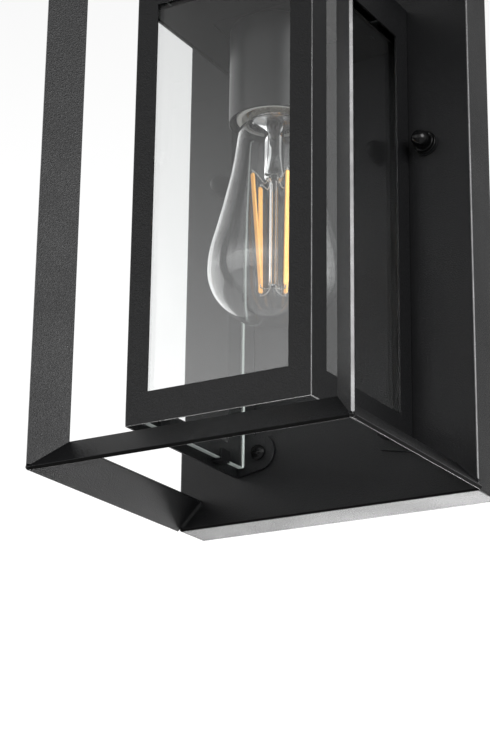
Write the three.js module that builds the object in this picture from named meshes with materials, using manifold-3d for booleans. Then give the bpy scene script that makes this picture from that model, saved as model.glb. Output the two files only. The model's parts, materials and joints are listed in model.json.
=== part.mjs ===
// Outdoor wall lantern: an open cage of flat strips on a folded back plate, round a glazed lamp box.
// Millimetres. +Z is up, +X is to the right of someone facing the lantern, +Y points into the wall.
// The origin is on the wall, at the middle of the mounting strap.
import * as THREE from "three";
import { ConvexGeometry } from "three/addons/geometries/ConvexGeometry.js";
import { mergeVertices } from "three/addons/utils/BufferGeometryUtils.js";
import Module from "manifold-3d";

// ---- Driving dimensions -------------------------------------------------------------------------
const GAP = 0.3; // clearance kept between touching pieces
const SHEET = 1; // lamp box and ceiling sheet
const PLATE_SHEET = 1.2; // back plate sheet

const WIDTH = 168; // over the back plate
const HEIGHT = 286;
const RIM_DEPTH = 22.5; // back plate front to the wall
const CAGE_WIDTH = 171.8; // the cage stands out a little at the sides of the back plate
const CAGE_DEPTH = 129.7; // back plate front to the cage front
const STRIP_WIDTH = 19.7;
const STRIP_THICKNESS = 2;

const BOX_WIDTH = 100;
const BOX_DEPTH = 101.5;
const BOX_BOTTOM = 23.4; // above the bottom of the cage, and the same below its top
const BOTTOM_RAIL = 15.4; // below all three windows
const TOP_RAIL = 20.4; // above them
const FRONT_STILE = 12;
const SIDE_FRONT_STILE = 14;
const SIDE_REAR_STILE = 13;
const FLANGE_WIDTH = 11; // rear flanges that lie on the back plate
const EAR_INSET_X = 13.6; // ear screw from the outside of the lamp box
const EAR_INSET_Z = 11.7; // ear screw from the lower or upper edge of the lamp box
const EAR_RADIUS = 9.2;
const TAB_WIDTH = 7.5; // bend-over tabs under the glass
const TAB_HEIGHT = 6;

const GLASS = 3;
const GLASS_LIFT = 4; // bottom edge of the glass above the bottom of the lamp box
const SIDE_PANE_PLAY = 1.8; // the side panes hang this far inside the sheet

const CEILING_HEIGHT = 240.4; // underside of the ceiling plate
const CUTOUT = { width: 48.4, length: 46.6, corner: 4 }; // hole in the ceiling plate for the lampholder
const SLOT = { x: 38, y: -20.6, width: 1.6, length: 6 }; // one to each side, in the ceiling plate
const LAMP_Y = -49.2; // lamp axis, from the back plate's front face

const STUD_HEIGHT = 184.5;
const STUD_SPACING = 119.8;
const STUD_RADIUS = 2;
const STRAP_LENGTH = 134;
const STRAP_WIDTH = 20;
const STRAP_THICKNESS = 2;

const CUP_RADIUS = 22.8;
const CUP_MOUTH = 188.1;
const CUP_WALL = 1;
const HOLDER_RADIUS = 19;
const HOLDER_RECESS = 2;

const BULB_RADIUS = 32.2;
const BULB_BOTTOM = 81.4;
const BULB_EQUATOR = 109.5;
const BULB_WALL = 0.9;
const CAP_RADIUS = 13;
const CAP_BOTTOM = CUP_MOUTH + 0.8;
const CAP_LENGTH = 21.2;

// ---- Worked out from them -----------------------------------------------------------------------
const BOX_TOP = HEIGHT - BOX_BOTTOM;
const BOX_HALF = BOX_WIDTH / 2;
const BOX_INNER = BOX_HALF - SHEET;
const PANE_OUTER = BOX_INNER - SIDE_PANE_PLAY;
const PANE_INNER = PANE_OUTER - GLASS;
const PANE_BOTTOM = BOX_BOTTOM + GLASS_LIFT;
const COVER_FLANGE = 8; // down-turned edge of the top cover
const PANE_TOP = BOX_TOP - COVER_FLANGE - GAP;
const HOLDER_MOUTH = CUP_MOUTH + HOLDER_RECESS;
const SOCKET_PLATE_BOTTOM = CEILING_HEIGHT + SHEET + GAP;
const SOCKET_PLATE_THICKNESS = 1.5;
const SOCKET_PLATE_TOP = SOCKET_PLATE_BOTTOM + SOCKET_PLATE_THICKNESS;
const WIRE_HOLE_HEIGHT = CEILING_HEIGHT + 6.7;

// ---- Finishes -----------------------------------------------------------------------------------
const FINISHES = {
  powder_coat: { color: 0x2c2d2f, roughness: 0.55, metalness: 0.35 },
  clear_glass: { color: 0xdfe8e6, roughness: 0.03, metalness: 0, transparent: true, opacity: 0.25 },
  bulb_glass: { color: 0xf2f4f4, roughness: 0.02, metalness: 0, transparent: true, opacity: 0.25 },
  zinc_steel: { color: 0xa8aaac, roughness: 0.35, metalness: 1 },
  nickel: { color: 0xb5b1a6, roughness: 0.3, metalness: 1 },
  brass: { color: 0xb89a5a, roughness: 0.35, metalness: 1 },
  porcelain: { color: 0xd9d8d2, roughness: 0.4, metalness: 0 },
  filament: { color: 0xffc06a, roughness: 0.6, metalness: 0 },
  black_insulation: { color: 0x1a1a1a, roughness: 0.6, metalness: 0 },
  white_insulation: { color: 0xe8e8e4, roughness: 0.6, metalness: 0 },
  copper: { color: 0xb87048, roughness: 0.4, metalness: 1 },
  green_screw: { color: 0x2f7d4a, roughness: 0.4, metalness: 0.6 },
  rubber: { color: 0x161616, roughness: 0.9, metalness: 0 },
};

// ---- Shape helpers ------------------------------------------------------------------------------
const wasm = await Module();
wasm.setup();

// A closed three.js geometry as a solid that can be joined and cut.
function solid(geometry) {
  const bare = geometry.clone();
  bare.deleteAttribute("normal");
  bare.deleteAttribute("uv");
  const merged = mergeVertices(bare, 1e-4);
  return new wasm.Manifold(
    new wasm.Mesh({
      numProp: 3,
      vertProperties: merged.attributes.position.array,
      triVerts: new Uint32Array(merged.index.array),
    }),
  );
}

function geometryOf(body) {
  const mesh = body.getMesh();
  const geometry = new THREE.BufferGeometry();
  geometry.setAttribute("position", new THREE.BufferAttribute(mesh.vertProperties, 3));
  geometry.setIndex(new THREE.BufferAttribute(mesh.triVerts, 1));
  geometry.computeVertexNormals();
  return geometry;
}

function block(x0, x1, y0, y1, z0, z1) {
  const geometry = new THREE.BoxGeometry(x1 - x0, y1 - y0, z1 - z0);
  return solid(geometry.translate((x0 + x1) / 2, (y0 + y1) / 2, (z0 + z1) / 2));
}

// A solid of revolution about Z. The outline is [radius, height] pairs that go up the outside; it either
// starts and ends on the axis, or closes on itself.
function turned(outline, sides = 32) {
  const points = outline.map(([radius, height]) => new THREE.Vector2(radius, height));
  return solid(new THREE.LatheGeometry(points, sides).rotateX(Math.PI / 2));
}

function ring(inner, outer, bottom, top, sides = 32) {
  const outline = [[inner, bottom], [outer, bottom], [outer, top], [inner, top], [inner, bottom]];
  return turned(outline, sides);
}

function disc(radius, bottom, top, sides = 32) {
  return turned([[0, bottom], [radius, bottom], [radius, top], [0, top]], sides);
}

// Turns a solid made along +Z so that its +Z points out of the wall, along -Y.
function facingOut(body) {
  return body.rotate([90, 0, 0]);
}

// A flat shape drawn in X and Z, with its front at y and its thickness going back from there.
function upright(shape, y, thickness, curveSegments = 12) {
  const flat = new THREE.ExtrudeGeometry(shape, { depth: thickness, bevelEnabled: false, curveSegments });
  return solid(flat.rotateX(Math.PI / 2)).translate([0, y + thickness, 0]);
}

function roundHole(x, z, radius) {
  const hole = new THREE.Path();
  hole.absarc(x, z, radius, 0, 2 * Math.PI, true);
  return hole;
}

// A hole through sheet that stands upright, bored along Y.
function bore(x, z, radius, y0, y1, sides = 20) {
  return facingOut(disc(radius, -y1, -y0, sides)).translate([x, 0, z]);
}

function hexPrism(acrossFlats, bottom, top, hole) {
  const corner = acrossFlats / Math.sqrt(3);
  return disc(corner, bottom, top, 6).subtract(disc(hole, bottom - 1, top + 1, 20));
}

// A round wire or tube of the given radius along a smooth curve through the points.
function wire(points, radius, steps, sides = 8) {
  const path = new THREE.CatmullRomCurve3(points.map((point) => new THREE.Vector3(...point)));
  const section = new THREE.Shape();
  for (let i = 0; i < sides; i += 1) {
    const angle = (2 * Math.PI * i) / sides;
    const corner = [radius * Math.cos(angle), radius * Math.sin(angle)];
    if (i === 0) section.moveTo(...corner);
    else section.lineTo(...corner);
  }
  section.closePath();
  const swept = solid(new THREE.ExtrudeGeometry(section, { steps, extrudePath: path }));
  return swept.volume() < 0 ? solid(flipped(swept)) : swept;
}

function flipped(body) {
  const geometry = geometryOf(body);
  const index = geometry.index.array;
  for (let i = 0; i < index.length; i += 3) [index[i + 1], index[i + 2]] = [index[i + 2], index[i + 1]];
  return geometry;
}

// ---- Scene graph --------------------------------------------------------------------------------
const lantern = new THREE.Group();
const frontFrame = new THREE.Group(); // origin at the bottom middle of the back plate's front face
frontFrame.position.set(0, -RIM_DEPTH, -STUD_HEIGHT);
lantern.add(frontFrame);

function add(name, body, finish) {
  const mesh = new THREE.Mesh(geometryOf(body), new THREE.MeshStandardMaterial(FINISHES[finish]));
  mesh.name = name;
  frontFrame.add(mesh);
  return mesh;
}

// ---- Cage ---------------------------------------------------------------------------------------
// A strip's outer edge follows an edge of the cage and its width points diagonally inwards. Where three
// strips meet, each ends in a wedge along the corner's diagonal; at the back plate it is cut square.
const EDGE_INSET = STRIP_THICKNESS / 2 / Math.SQRT2; // keeps the strip's outer corners in the cage's faces
const WEDGE = STRIP_THICKNESS / 2 / Math.SQRT2; // the wedge's length, along the strip
const MITRE_GAP = 0.22; // along the strip, which leaves GAP between two strips

function cageStrip(start, end, inward, endsOnPlate) {
  const run = end.clone().sub(start).normalize();
  const across = inward.clone().normalize();
  const thick = run.clone().cross(across).multiplyScalar(STRIP_THICKNESS / 2);
  const points = [];
  const addEnd = (corner, direction, mitred) => {
    for (const depth of [0, STRIP_WIDTH]) {
      const edge = corner.clone().addScaledVector(across, depth);
      if (mitred) {
        const ridge = edge.clone().addScaledVector(direction, depth / Math.SQRT2 + MITRE_GAP);
        const face = ridge.clone().addScaledVector(direction, WEDGE);
        points.push(ridge, face.clone().add(thick), face.clone().sub(thick));
      } else {
        points.push(edge.clone().add(thick), edge.clone().sub(thick));
      }
    }
  };
  addEnd(start, run, true);
  addEnd(end, run.clone().negate(), !endsOnPlate);
  return solid(new ConvexGeometry(points));
}

function buildCage() {
  const side = CAGE_WIDTH / 2 - EDGE_INSET;
  const front = -CAGE_DEPTH + EDGE_INSET;
  const levels = { bottom: [EDGE_INSET, 1], top: [HEIGHT - EDGE_INSET, -1] };
  const [low] = levels.bottom;
  const [high] = levels.top;
  for (const [hand, sign] of [["left", -1], ["right", 1]]) {
    const foot = new THREE.Vector3(sign * side, front, low);
    const head = new THREE.Vector3(sign * side, front, high);
    add(`post_${hand}`, cageStrip(foot, head, new THREE.Vector3(-sign, 1, 0), false), "powder_coat");
  }
  for (const [level, [z, up]] of Object.entries(levels)) {
    const left = new THREE.Vector3(-side, front, z);
    const right = new THREE.Vector3(side, front, z);
    add(`bar_${level}_front`, cageStrip(left, right, new THREE.Vector3(0, 1, up), false), "powder_coat");
    for (const [hand, sign] of [["left", -1], ["right", 1]]) {
      const near = new THREE.Vector3(sign * side, front, z);
      const far = new THREE.Vector3(sign * side, -GAP, z);
      const bar = cageStrip(near, far, new THREE.Vector3(-sign, 0, up), true);
      add(`bar_${level}_${hand}`, bar, "powder_coat");
    }
  }
}

// ---- Back plate and wall fixing -----------------------------------------------------------------
const EAR_PLACES = [
  ["lower_left", -1, BOX_BOTTOM + EAR_INSET_Z],
  ["lower_right", 1, BOX_BOTTOM + EAR_INSET_Z],
  ["upper_left", -1, BOX_TOP - EAR_INSET_Z],
  ["upper_right", 1, BOX_TOP - EAR_INSET_Z],
];
const EAR_X = BOX_HALF - EAR_INSET_X;
const RIVET_X = 19;
const RIVET_HEIGHT = CEILING_HEIGHT + 5.9;
const SCREW_RADIUS = 2;
const RIVET_RADIUS = 1.6;
const GROMMET_HOLE = 5.5;

function buildBackPlate() {
  const half = WIDTH / 2;
  const outside = block(-half, half, 0, RIM_DEPTH, 0, HEIGHT);
  const pocket = block(
    -half + PLATE_SHEET,
    half - PLATE_SHEET,
    PLATE_SHEET,
    RIM_DEPTH + 1,
    PLATE_SHEET,
    HEIGHT - PLATE_SHEET,
  );
  let plate = outside.subtract(pocket);
  const through = [-1, PLATE_SHEET + 1];
  for (const sign of [-1, 1]) {
    plate = plate.subtract(bore((sign * STUD_SPACING) / 2, STUD_HEIGHT, STUD_RADIUS + 0.6, ...through));
    plate = plate.subtract(bore(sign * RIVET_X, RIVET_HEIGHT, RIVET_RADIUS + GAP, ...through, 12));
  }
  for (const [, sign, z] of EAR_PLACES) {
    plate = plate.subtract(bore(sign * EAR_X, z, SCREW_RADIUS + GAP, ...through, 16));
  }
  plate = plate.subtract(bore(0, WIRE_HOLE_HEIGHT, GROMMET_HOLE, ...through));
  add("back_plate", plate, "powder_coat");
}

const STRAP_FRONT = RIM_DEPTH - STRAP_THICKNESS;
const BOX_SCREW_SLOT = { centre: 43, length: 15, width: 5 };
const GROUND_SCREW_X = 18;

function buildMountingStrap() {
  const halfLength = STRAP_LENGTH / 2;
  const halfWidth = STRAP_WIDTH / 2;
  const corner = 4;
  const outline = new THREE.Shape();
  for (const [x, z, from] of [
    [halfLength - corner, STUD_HEIGHT + halfWidth - corner, 0],
    [-halfLength + corner, STUD_HEIGHT + halfWidth - corner, 0.5],
    [-halfLength + corner, STUD_HEIGHT - halfWidth + corner, 1],
    [halfLength - corner, STUD_HEIGHT - halfWidth + corner, 1.5],
  ]) {
    outline.absarc(x, z, corner, from * Math.PI, (from + 0.5) * Math.PI, false);
  }
  outline.closePath();
  for (const sign of [-1, 1]) {
    outline.holes.push(roundHole((sign * STUD_SPACING) / 2, STUD_HEIGHT, STUD_RADIUS + GAP));
    const slot = new THREE.Path();
    const reach = (BOX_SCREW_SLOT.length - BOX_SCREW_SLOT.width) / 2;
    const centre = sign * BOX_SCREW_SLOT.centre;
    slot.absarc(centre + reach, STUD_HEIGHT, BOX_SCREW_SLOT.width / 2, -Math.PI / 2, Math.PI / 2, false);
    slot.absarc(centre - reach, STUD_HEIGHT, BOX_SCREW_SLOT.width / 2, Math.PI / 2, 1.5 * Math.PI, false);
    slot.closePath();
    outline.holes.push(slot);
  }
  outline.holes.push(roundHole(GROUND_SCREW_X, STUD_HEIGHT, SCREW_RADIUS + GAP));
  add("mounting_strap", upright(outline, STRAP_FRONT, STRAP_THICKNESS, 6), "zinc_steel");
}

const WASHER = { radius: 6.3, thickness: 1 };
const NUT_SEAT = GAP + WASHER.thickness + GAP; // back of the cap nut, in front of the back plate
const NUT_BASE = { radius: 6, end: 2.9 }; // the ends of these steps are measured from the back plate
const NUT_GROOVE = { radius: 4.6, end: 3.6 };
const NUT_RING = { radius: 5.4, end: 4.7 };
const NUT_NECK = { radius: 3.1, end: 5 };
const BALL_RADIUS = 4.5;
const BALL_CENTRE = 7.9; // in front of the back plate
const STUD_TIP = 9;
const LOCKNUT = { acrossFlats: 7, thickness: 3.2 };

// A turned cap nut: a base, a groove and a ring, and a ball on a short neck, with a blind bore for the stud.
function capNut() {
  const bore = STUD_RADIUS + GAP;
  const chamfer = 0.4;
  const outline = [[bore, NUT_SEAT], [NUT_BASE.radius - chamfer, NUT_SEAT]];
  outline.push([NUT_BASE.radius, NUT_SEAT + chamfer], [NUT_BASE.radius, NUT_BASE.end - chamfer]);
  outline.push([NUT_BASE.radius - chamfer, NUT_BASE.end], [NUT_GROOVE.radius, NUT_BASE.end]);
  outline.push([NUT_GROOVE.radius, NUT_GROOVE.end], [NUT_RING.radius, NUT_GROOVE.end + chamfer]);
  outline.push([NUT_RING.radius, NUT_RING.end - chamfer], [NUT_RING.radius - chamfer, NUT_RING.end]);
  outline.push([NUT_NECK.radius, NUT_RING.end], [NUT_NECK.radius, NUT_NECK.end]);
  const startAngle = -Math.acos((NUT_NECK.radius + 0.2) / BALL_RADIUS);
  const steps = 10;
  for (let i = 0; i <= steps; i += 1) {
    const angle = startAngle + ((Math.PI / 2 - startAngle) * i) / steps;
    const radius = i === steps ? 0 : BALL_RADIUS * Math.cos(angle);
    outline.push([radius, BALL_CENTRE + BALL_RADIUS * Math.sin(angle)]);
  }
  outline.push([0, STUD_TIP + GAP], [bore, STUD_TIP + GAP], [bore, NUT_SEAT]);
  return facingOut(turned(outline, 28));
}

function buildFixings() {
  for (const [hand, sign] of [["left", -1], ["right", 1]]) {
    const place = [(sign * STUD_SPACING) / 2, 0, STUD_HEIGHT];
    const stud = facingOut(disc(STUD_RADIUS, -RIM_DEPTH + GAP, STUD_TIP, 20));
    add(`stud_${hand}`, stud.translate(place), "zinc_steel");
    const nutBack = -STRAP_FRONT + GAP;
    const locknut = facingOut(
      hexPrism(LOCKNUT.acrossFlats, nutBack, nutBack + LOCKNUT.thickness, STUD_RADIUS + GAP),
    );
    add(`stud_locknut_${hand}`, locknut.translate(place), "zinc_steel");
    const washer = facingOut(ring(STUD_RADIUS + GAP, WASHER.radius, GAP, GAP + WASHER.thickness, 28));
    add(`washer_${hand}`, washer.translate(place), "powder_coat");
    add(`cap_nut_${hand}`, capNut().translate(place), "powder_coat");
  }
  const head = -STRAP_FRONT + GAP;
  const groundScrew = disc(4, head, head + 2, 20).add(disc(SCREW_RADIUS, -RIM_DEPTH + GAP, head + 1, 16));
  const groundPlace = [GROUND_SCREW_X, 0, STUD_HEIGHT];
  add("ground_screw", facingOut(groundScrew).translate(groundPlace), "green_screw");
}

// ---- Lamp box -----------------------------------------------------------------------------------
// One folded sheet: a front and two sides with windows, rear flanges with round ears, and small tabs that
// bend under and behind the lower edges of the glass.
const TAB_LEVEL = PANE_BOTTOM - GAP - SHEET;
const SIDE_TABS_Y = [-22, -BOX_DEPTH + 24];
const FRONT_TABS_X = [-30, 30];

// A rear flange with an ear at each end. An ear's outer edge runs straight from the box's corner to the
// round.
function rearFlange(sign) {
  const y0 = -GAP - SHEET;
  const y1 = -GAP;
  const bend = sign * BOX_HALF;
  const edge = sign * (BOX_HALF - FLANGE_WIDTH);
  const ends = [BOX_BOTTOM + EAR_INSET_Z, BOX_TOP - EAR_INSET_Z];
  let flange = block(Math.min(bend, edge), Math.max(bend, edge), y0, y1, ...ends);
  for (const [z, outward] of [[ends[0], -1], [ends[1], 1]]) {
    const points = [];
    for (const y of [y0, y1]) {
      points.push(new THREE.Vector3(bend, y, z + outward * EAR_INSET_Z));
      points.push(new THREE.Vector3(bend, y, z - outward * EAR_RADIUS));
      for (let i = 0; i < 32; i += 1) {
        const angle = (Math.PI * i) / 16;
        const x = sign * EAR_X + EAR_RADIUS * Math.cos(angle);
        points.push(new THREE.Vector3(x, y, z + EAR_RADIUS * Math.sin(angle)));
      }
    }
    flange = flange.add(solid(new ConvexGeometry(points)));
  }
  for (const z of ends) {
    flange = flange.subtract(bore(sign * EAR_X, z, SCREW_RADIUS + GAP, y0 - 1, y1 + 1, 16));
  }
  return flange;
}

function glassTab(x0, x1, y0, y1, upright0, upright1, alongX) {
  const leg = block(x0, x1, y0, y1, TAB_LEVEL, TAB_LEVEL + SHEET);
  const lip = alongX
    ? block(upright0, upright1, y0, y1, TAB_LEVEL, TAB_LEVEL + TAB_HEIGHT)
    : block(x0, x1, upright0, upright1, TAB_LEVEL, TAB_LEVEL + TAB_HEIGHT);
  return leg.add(lip);
}

function buildLampBox() {
  const front = -BOX_DEPTH;
  const windowBottom = BOX_BOTTOM + BOTTOM_RAIL;
  const windowTop = BOX_TOP - TOP_RAIL;
  const windowHalf = BOX_HALF - FRONT_STILE;
  let housing = block(-BOX_HALF, BOX_HALF, front, front + SHEET, BOX_BOTTOM, BOX_TOP);
  housing = housing.subtract(
    block(-windowHalf, windowHalf, front - 1, front + SHEET + 1, windowBottom, windowTop),
  );
  const lipInner = PANE_INNER - GAP - SHEET;
  for (const sign of [-1, 1]) {
    const [x0, x1] = sign < 0 ? [-BOX_HALF, -BOX_INNER] : [BOX_INNER, BOX_HALF];
    const panel = block(x0, x1, front, -GAP, BOX_BOTTOM, BOX_TOP).subtract(
      block(x0 - 1, x1 + 1, front + SIDE_FRONT_STILE, -SIDE_REAR_STILE, windowBottom, windowTop),
    );
    housing = housing.add(panel).add(rearFlange(sign));
    for (const y of SIDE_TABS_Y) {
      const lip = sign < 0 ? [-lipInner - SHEET, -lipInner] : [lipInner, lipInner + SHEET];
      const leg = sign < 0 ? [-BOX_INNER - 0.5, -lipInner] : [lipInner, BOX_INNER + 0.5];
      const tab = glassTab(...leg, y - TAB_WIDTH / 2, y + TAB_WIDTH / 2, ...lip, true);
      housing = housing.add(tab);
    }
  }
  const lipBack = front + SHEET + GAP + GLASS + GAP + SHEET;
  for (const x of FRONT_TABS_X) {
    const across = [x - TAB_WIDTH / 2, x + TAB_WIDTH / 2];
    housing = housing.add(glassTab(...across, front + 0.5, lipBack, lipBack - SHEET, lipBack, false));
  }
  add("lamp_housing", housing, "powder_coat");
}

function roundedPane(length, height, radius) {
  const pane = new THREE.Shape();
  pane.moveTo(0, radius);
  pane.absarc(radius, radius, radius, Math.PI, 1.5 * Math.PI, false);
  pane.absarc(length - radius, radius, radius, 1.5 * Math.PI, 2 * Math.PI, false);
  pane.lineTo(length, height);
  pane.lineTo(0, height);
  pane.closePath();
  return new THREE.ExtrudeGeometry(pane, { depth: GLASS, bevelEnabled: false, curveSegments: 5 });
}

function buildPanes() {
  const height = PANE_TOP - PANE_BOTTOM;
  const cornerRadius = 2;
  const glassFront = -BOX_DEPTH + SHEET + GAP;
  const frontHalf = PANE_INNER - GAP;
  const frontPane = solid(roundedPane(2 * frontHalf, height, cornerRadius).rotateX(Math.PI / 2));
  add("pane_front", frontPane.translate([-frontHalf, glassFront + GLASS, PANE_BOTTOM]), "clear_glass");
  const rear = -GAP - SHEET - GAP;
  const length = rear - glassFront;
  for (const [hand, x] of [["left", -PANE_OUTER], ["right", PANE_INNER]]) {
    const upended = roundedPane(length, height, cornerRadius).rotateX(Math.PI / 2);
    const sidePane = solid(upended.rotateZ(Math.PI / 2));
    add(`pane_${hand}`, sidePane.translate([x, glassFront, PANE_BOTTOM]), "clear_glass");
  }
}

// The ceiling plate closes the lamp space below the wiring space. Its rear edge turns up against the back
// plate, where two rivets hold it, and its sides keep the tops of the panes against the sheet.
const REAR_FLANGE_HALF = 26;
const REAR_FLANGE_HEIGHT = 13.5;

function cutout(bottom, height) {
  const { width, length, corner } = CUTOUT;
  const outline = new THREE.Shape();
  for (const [x, y, from] of [
    [width / 2 - corner, length / 2 - corner, 0],
    [corner - width / 2, length / 2 - corner, 0.5],
    [corner - width / 2, corner - length / 2, 1],
    [width / 2 - corner, corner - length / 2, 1.5],
  ]) {
    outline.absarc(x, y, corner, from * Math.PI, (from + 0.5) * Math.PI, false);
  }
  outline.closePath();
  const hole = new THREE.ExtrudeGeometry(outline, { depth: height, bevelEnabled: false, curveSegments: 6 });
  return solid(hole).translate([0, LAMP_Y, bottom]);
}

function buildCeiling() {
  const half = PANE_INNER - GAP;
  const front = -BOX_DEPTH + SHEET + GAP + GLASS + GAP;
  const back = -2 * GAP - SHEET;
  const base = CEILING_HEIGHT;
  const rearTop = base + REAR_FLANGE_HEIGHT;
  const rear = block(-REAR_FLANGE_HALF, REAR_FLANGE_HALF, -GAP - SHEET, -GAP, base, rearTop);
  let plate = block(-half, half, front, back, base, base + SHEET);
  plate = plate.add(block(-REAR_FLANGE_HALF, REAR_FLANGE_HALF, back - 1, -GAP, base, base + SHEET)).add(rear);
  plate = plate.subtract(cutout(base - 1, SHEET + 2));
  for (const sign of [-1, 1]) {
    const x = sign * SLOT.x - SLOT.width / 2;
    const y = SLOT.y - SLOT.length / 2;
    plate = plate.subtract(block(x, x + SLOT.width, y, y + SLOT.length, base - 1, base + SHEET + 1));
  }
  const through = [-GAP - SHEET - 1, 1];
  plate = plate.subtract(bore(0, WIRE_HOLE_HEIGHT, GROMMET_HOLE + 1.8, ...through));
  for (const [hand, sign] of [["left", -1], ["right", 1]]) {
    plate = plate.subtract(bore(sign * RIVET_X, RIVET_HEIGHT, RIVET_RADIUS + GAP, ...through, 12));
    const shank = -PLATE_SHEET - 1.5;
    const head = SHEET + GAP + GAP;
    const rivet = turned(
      [[0, shank], [2.4, shank], [2.4, -PLATE_SHEET - GAP], [RIVET_RADIUS, -PLATE_SHEET - GAP],
        [RIVET_RADIUS, head], [3.2, head], [2.6, head + 0.9], [0, head + 1.1]],
      16,
    );
    add(`ceiling_rivet_${hand}`, facingOut(rivet).translate([sign * RIVET_X, 0, RIVET_HEIGHT]), "zinc_steel");
  }
  add("ceiling_plate", plate, "powder_coat");
}

function buildTopCover() {
  const half = BOX_INNER - GAP;
  const front = -BOX_DEPTH + SHEET + GAP;
  const back = -2 * GAP - SHEET;
  const bottom = BOX_TOP - COVER_FLANGE;
  const top = BOX_TOP - GAP;
  const inside = half - SHEET;
  const hollow = block(-inside, inside, front + SHEET, back + 1, bottom - 1, top - SHEET);
  const cover = block(-half, half, front, back, bottom, top).subtract(hollow);
  add("top_cover", cover, "powder_coat");
}

function buildEarScrews() {
  const head = 2 * GAP + SHEET;
  const nut = -PLATE_SHEET - GAP;
  for (const [place, sign, z] of EAR_PLACES) {
    const at = [sign * EAR_X, 0, z];
    const screw = turned(
      [[0, nut - 5], [SCREW_RADIUS, nut - 5], [SCREW_RADIUS, head], [4, head], [4, head + 1.1],
        [3.2, head + 2.1], [1.6, head + 2.6], [0, head + 2.7]],
      20,
    );
    const cross = block(-0.45, 0.45, -2, 2, head + 1.5, head + 4).add(
      block(-2, 2, -0.45, 0.45, head + 1.5, head + 4),
    );
    add(`ear_screw_${place}`, facingOut(screw.subtract(cross)).translate(at), "powder_coat");
    const hex = hexPrism(7, nut - 3, nut, SCREW_RADIUS + GAP);
    add(`ear_nut_${place}`, facingOut(hex).translate(at), "zinc_steel");
  }
}

// ---- Lampholder ---------------------------------------------------------------------------------
const NIPPLE = { radius: 4.8, bore: 3.3 };
const NIPPLE_TOP = SOCKET_PLATE_TOP + 5;
const HOLDER_TOP = HOLDER_MOUTH + 43;
const SHELL_INNER = 13.4;
const SHELL_WALL = 0.4;

function onLampAxis(body) {
  return body.translate([0, LAMP_Y, 0]);
}

function buildLampholder() {
  const cupTop = SOCKET_PLATE_BOTTOM - GAP;
  const inside = CUP_RADIUS - CUP_WALL;
  const clearance = NIPPLE.radius + GAP;
  const rounding = 2.5;
  const cup = turned([
    [inside, CUP_MOUTH], [CUP_RADIUS, CUP_MOUTH], [CUP_RADIUS, cupTop - rounding],
    [CUP_RADIUS - rounding * 0.3, cupTop - rounding * 0.3], [CUP_RADIUS - rounding, cupTop],
    [clearance, cupTop], [clearance, cupTop - CUP_WALL], [inside - rounding + 0.5, cupTop - CUP_WALL],
    [inside, cupTop - CUP_WALL - rounding + 0.5], [inside, CUP_MOUTH],
  ], 36);
  add("socket_cup", onLampAxis(cup), "powder_coat");

  const plateHalf = 27;
  const plate = block(-plateHalf, plateHalf, -plateHalf, plateHalf, SOCKET_PLATE_BOTTOM, SOCKET_PLATE_TOP);
  const pierced = plate.subtract(disc(clearance, HOLDER_TOP, SOCKET_PLATE_TOP + 1, 20));
  add("socket_plate", onLampAxis(pierced), "powder_coat");

  const mouthBore = 16.2;
  const shellBore = SHELL_INNER + SHELL_WALL + GAP;
  const base = HOLDER_MOUTH + 29;
  const body = turned([
    [mouthBore, HOLDER_MOUTH], [HOLDER_RADIUS, HOLDER_MOUTH], [HOLDER_RADIUS, HOLDER_MOUTH + 27],
    [HOLDER_RADIUS - 4, HOLDER_MOUTH + 31], [HOLDER_RADIUS - 4, HOLDER_TOP], [clearance, HOLDER_TOP],
    [clearance, HOLDER_TOP - 7], [2.6, HOLDER_TOP - 7], [2.6, base], [shellBore, base],
    [shellBore, HOLDER_MOUTH + 3.4], [mouthBore, HOLDER_MOUTH + 2.6], [mouthBore, HOLDER_MOUTH],
  ], 36);
  add("lampholder_body", onLampAxis(body), "porcelain");

  const shellBottom = HOLDER_MOUTH + 3.8;
  const shell = ring(SHELL_INNER, SHELL_INNER + SHELL_WALL, shellBottom, base - 4, 32);
  add("screw_shell", onLampAxis(shell), "brass");

  const nipple = ring(NIPPLE.bore, NIPPLE.radius, HOLDER_TOP - 6.7, NIPPLE_TOP, 20);
  add("nipple", onLampAxis(nipple), "zinc_steel");
  const washerBottom = SOCKET_PLATE_TOP + GAP;
  const washer = ring(clearance, 8, washerBottom, washerBottom + 0.8, 20);
  add("nipple_washer", onLampAxis(washer), "zinc_steel");
  const nutBottom = washerBottom + 0.8 + GAP;
  add("nipple_nut", onLampAxis(hexPrism(14, nutBottom, nutBottom + 3, clearance)), "brass");
}

// The centre contact is a springy tongue on a rivet that stands in the floor of the lampholder.
const CONTACT_FACE = HOLDER_MOUTH + 27;

function buildCentreContact() {
  const tongue = block(-3, 3, -3, 9, CONTACT_FACE, CONTACT_FACE + 0.5);
  const rise = block(-3, 3, 8.5, 9, CONTACT_FACE, HOLDER_MOUTH + 29 - GAP);
  add("centre_contact", onLampAxis(tongue.add(rise)), "brass");
}

// ---- Bulb ---------------------------------------------------------------------------------------
const CAP_TOP = CAP_BOTTOM + CAP_LENGTH;
const NECK = { radius: 18.4, height: CAP_BOTTOM - 6.3 }; // where the cone starts, just below the cup's mouth
const CONE_FOOT = { radius: 30.8, height: BULB_EQUATOR + 12 };

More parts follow.
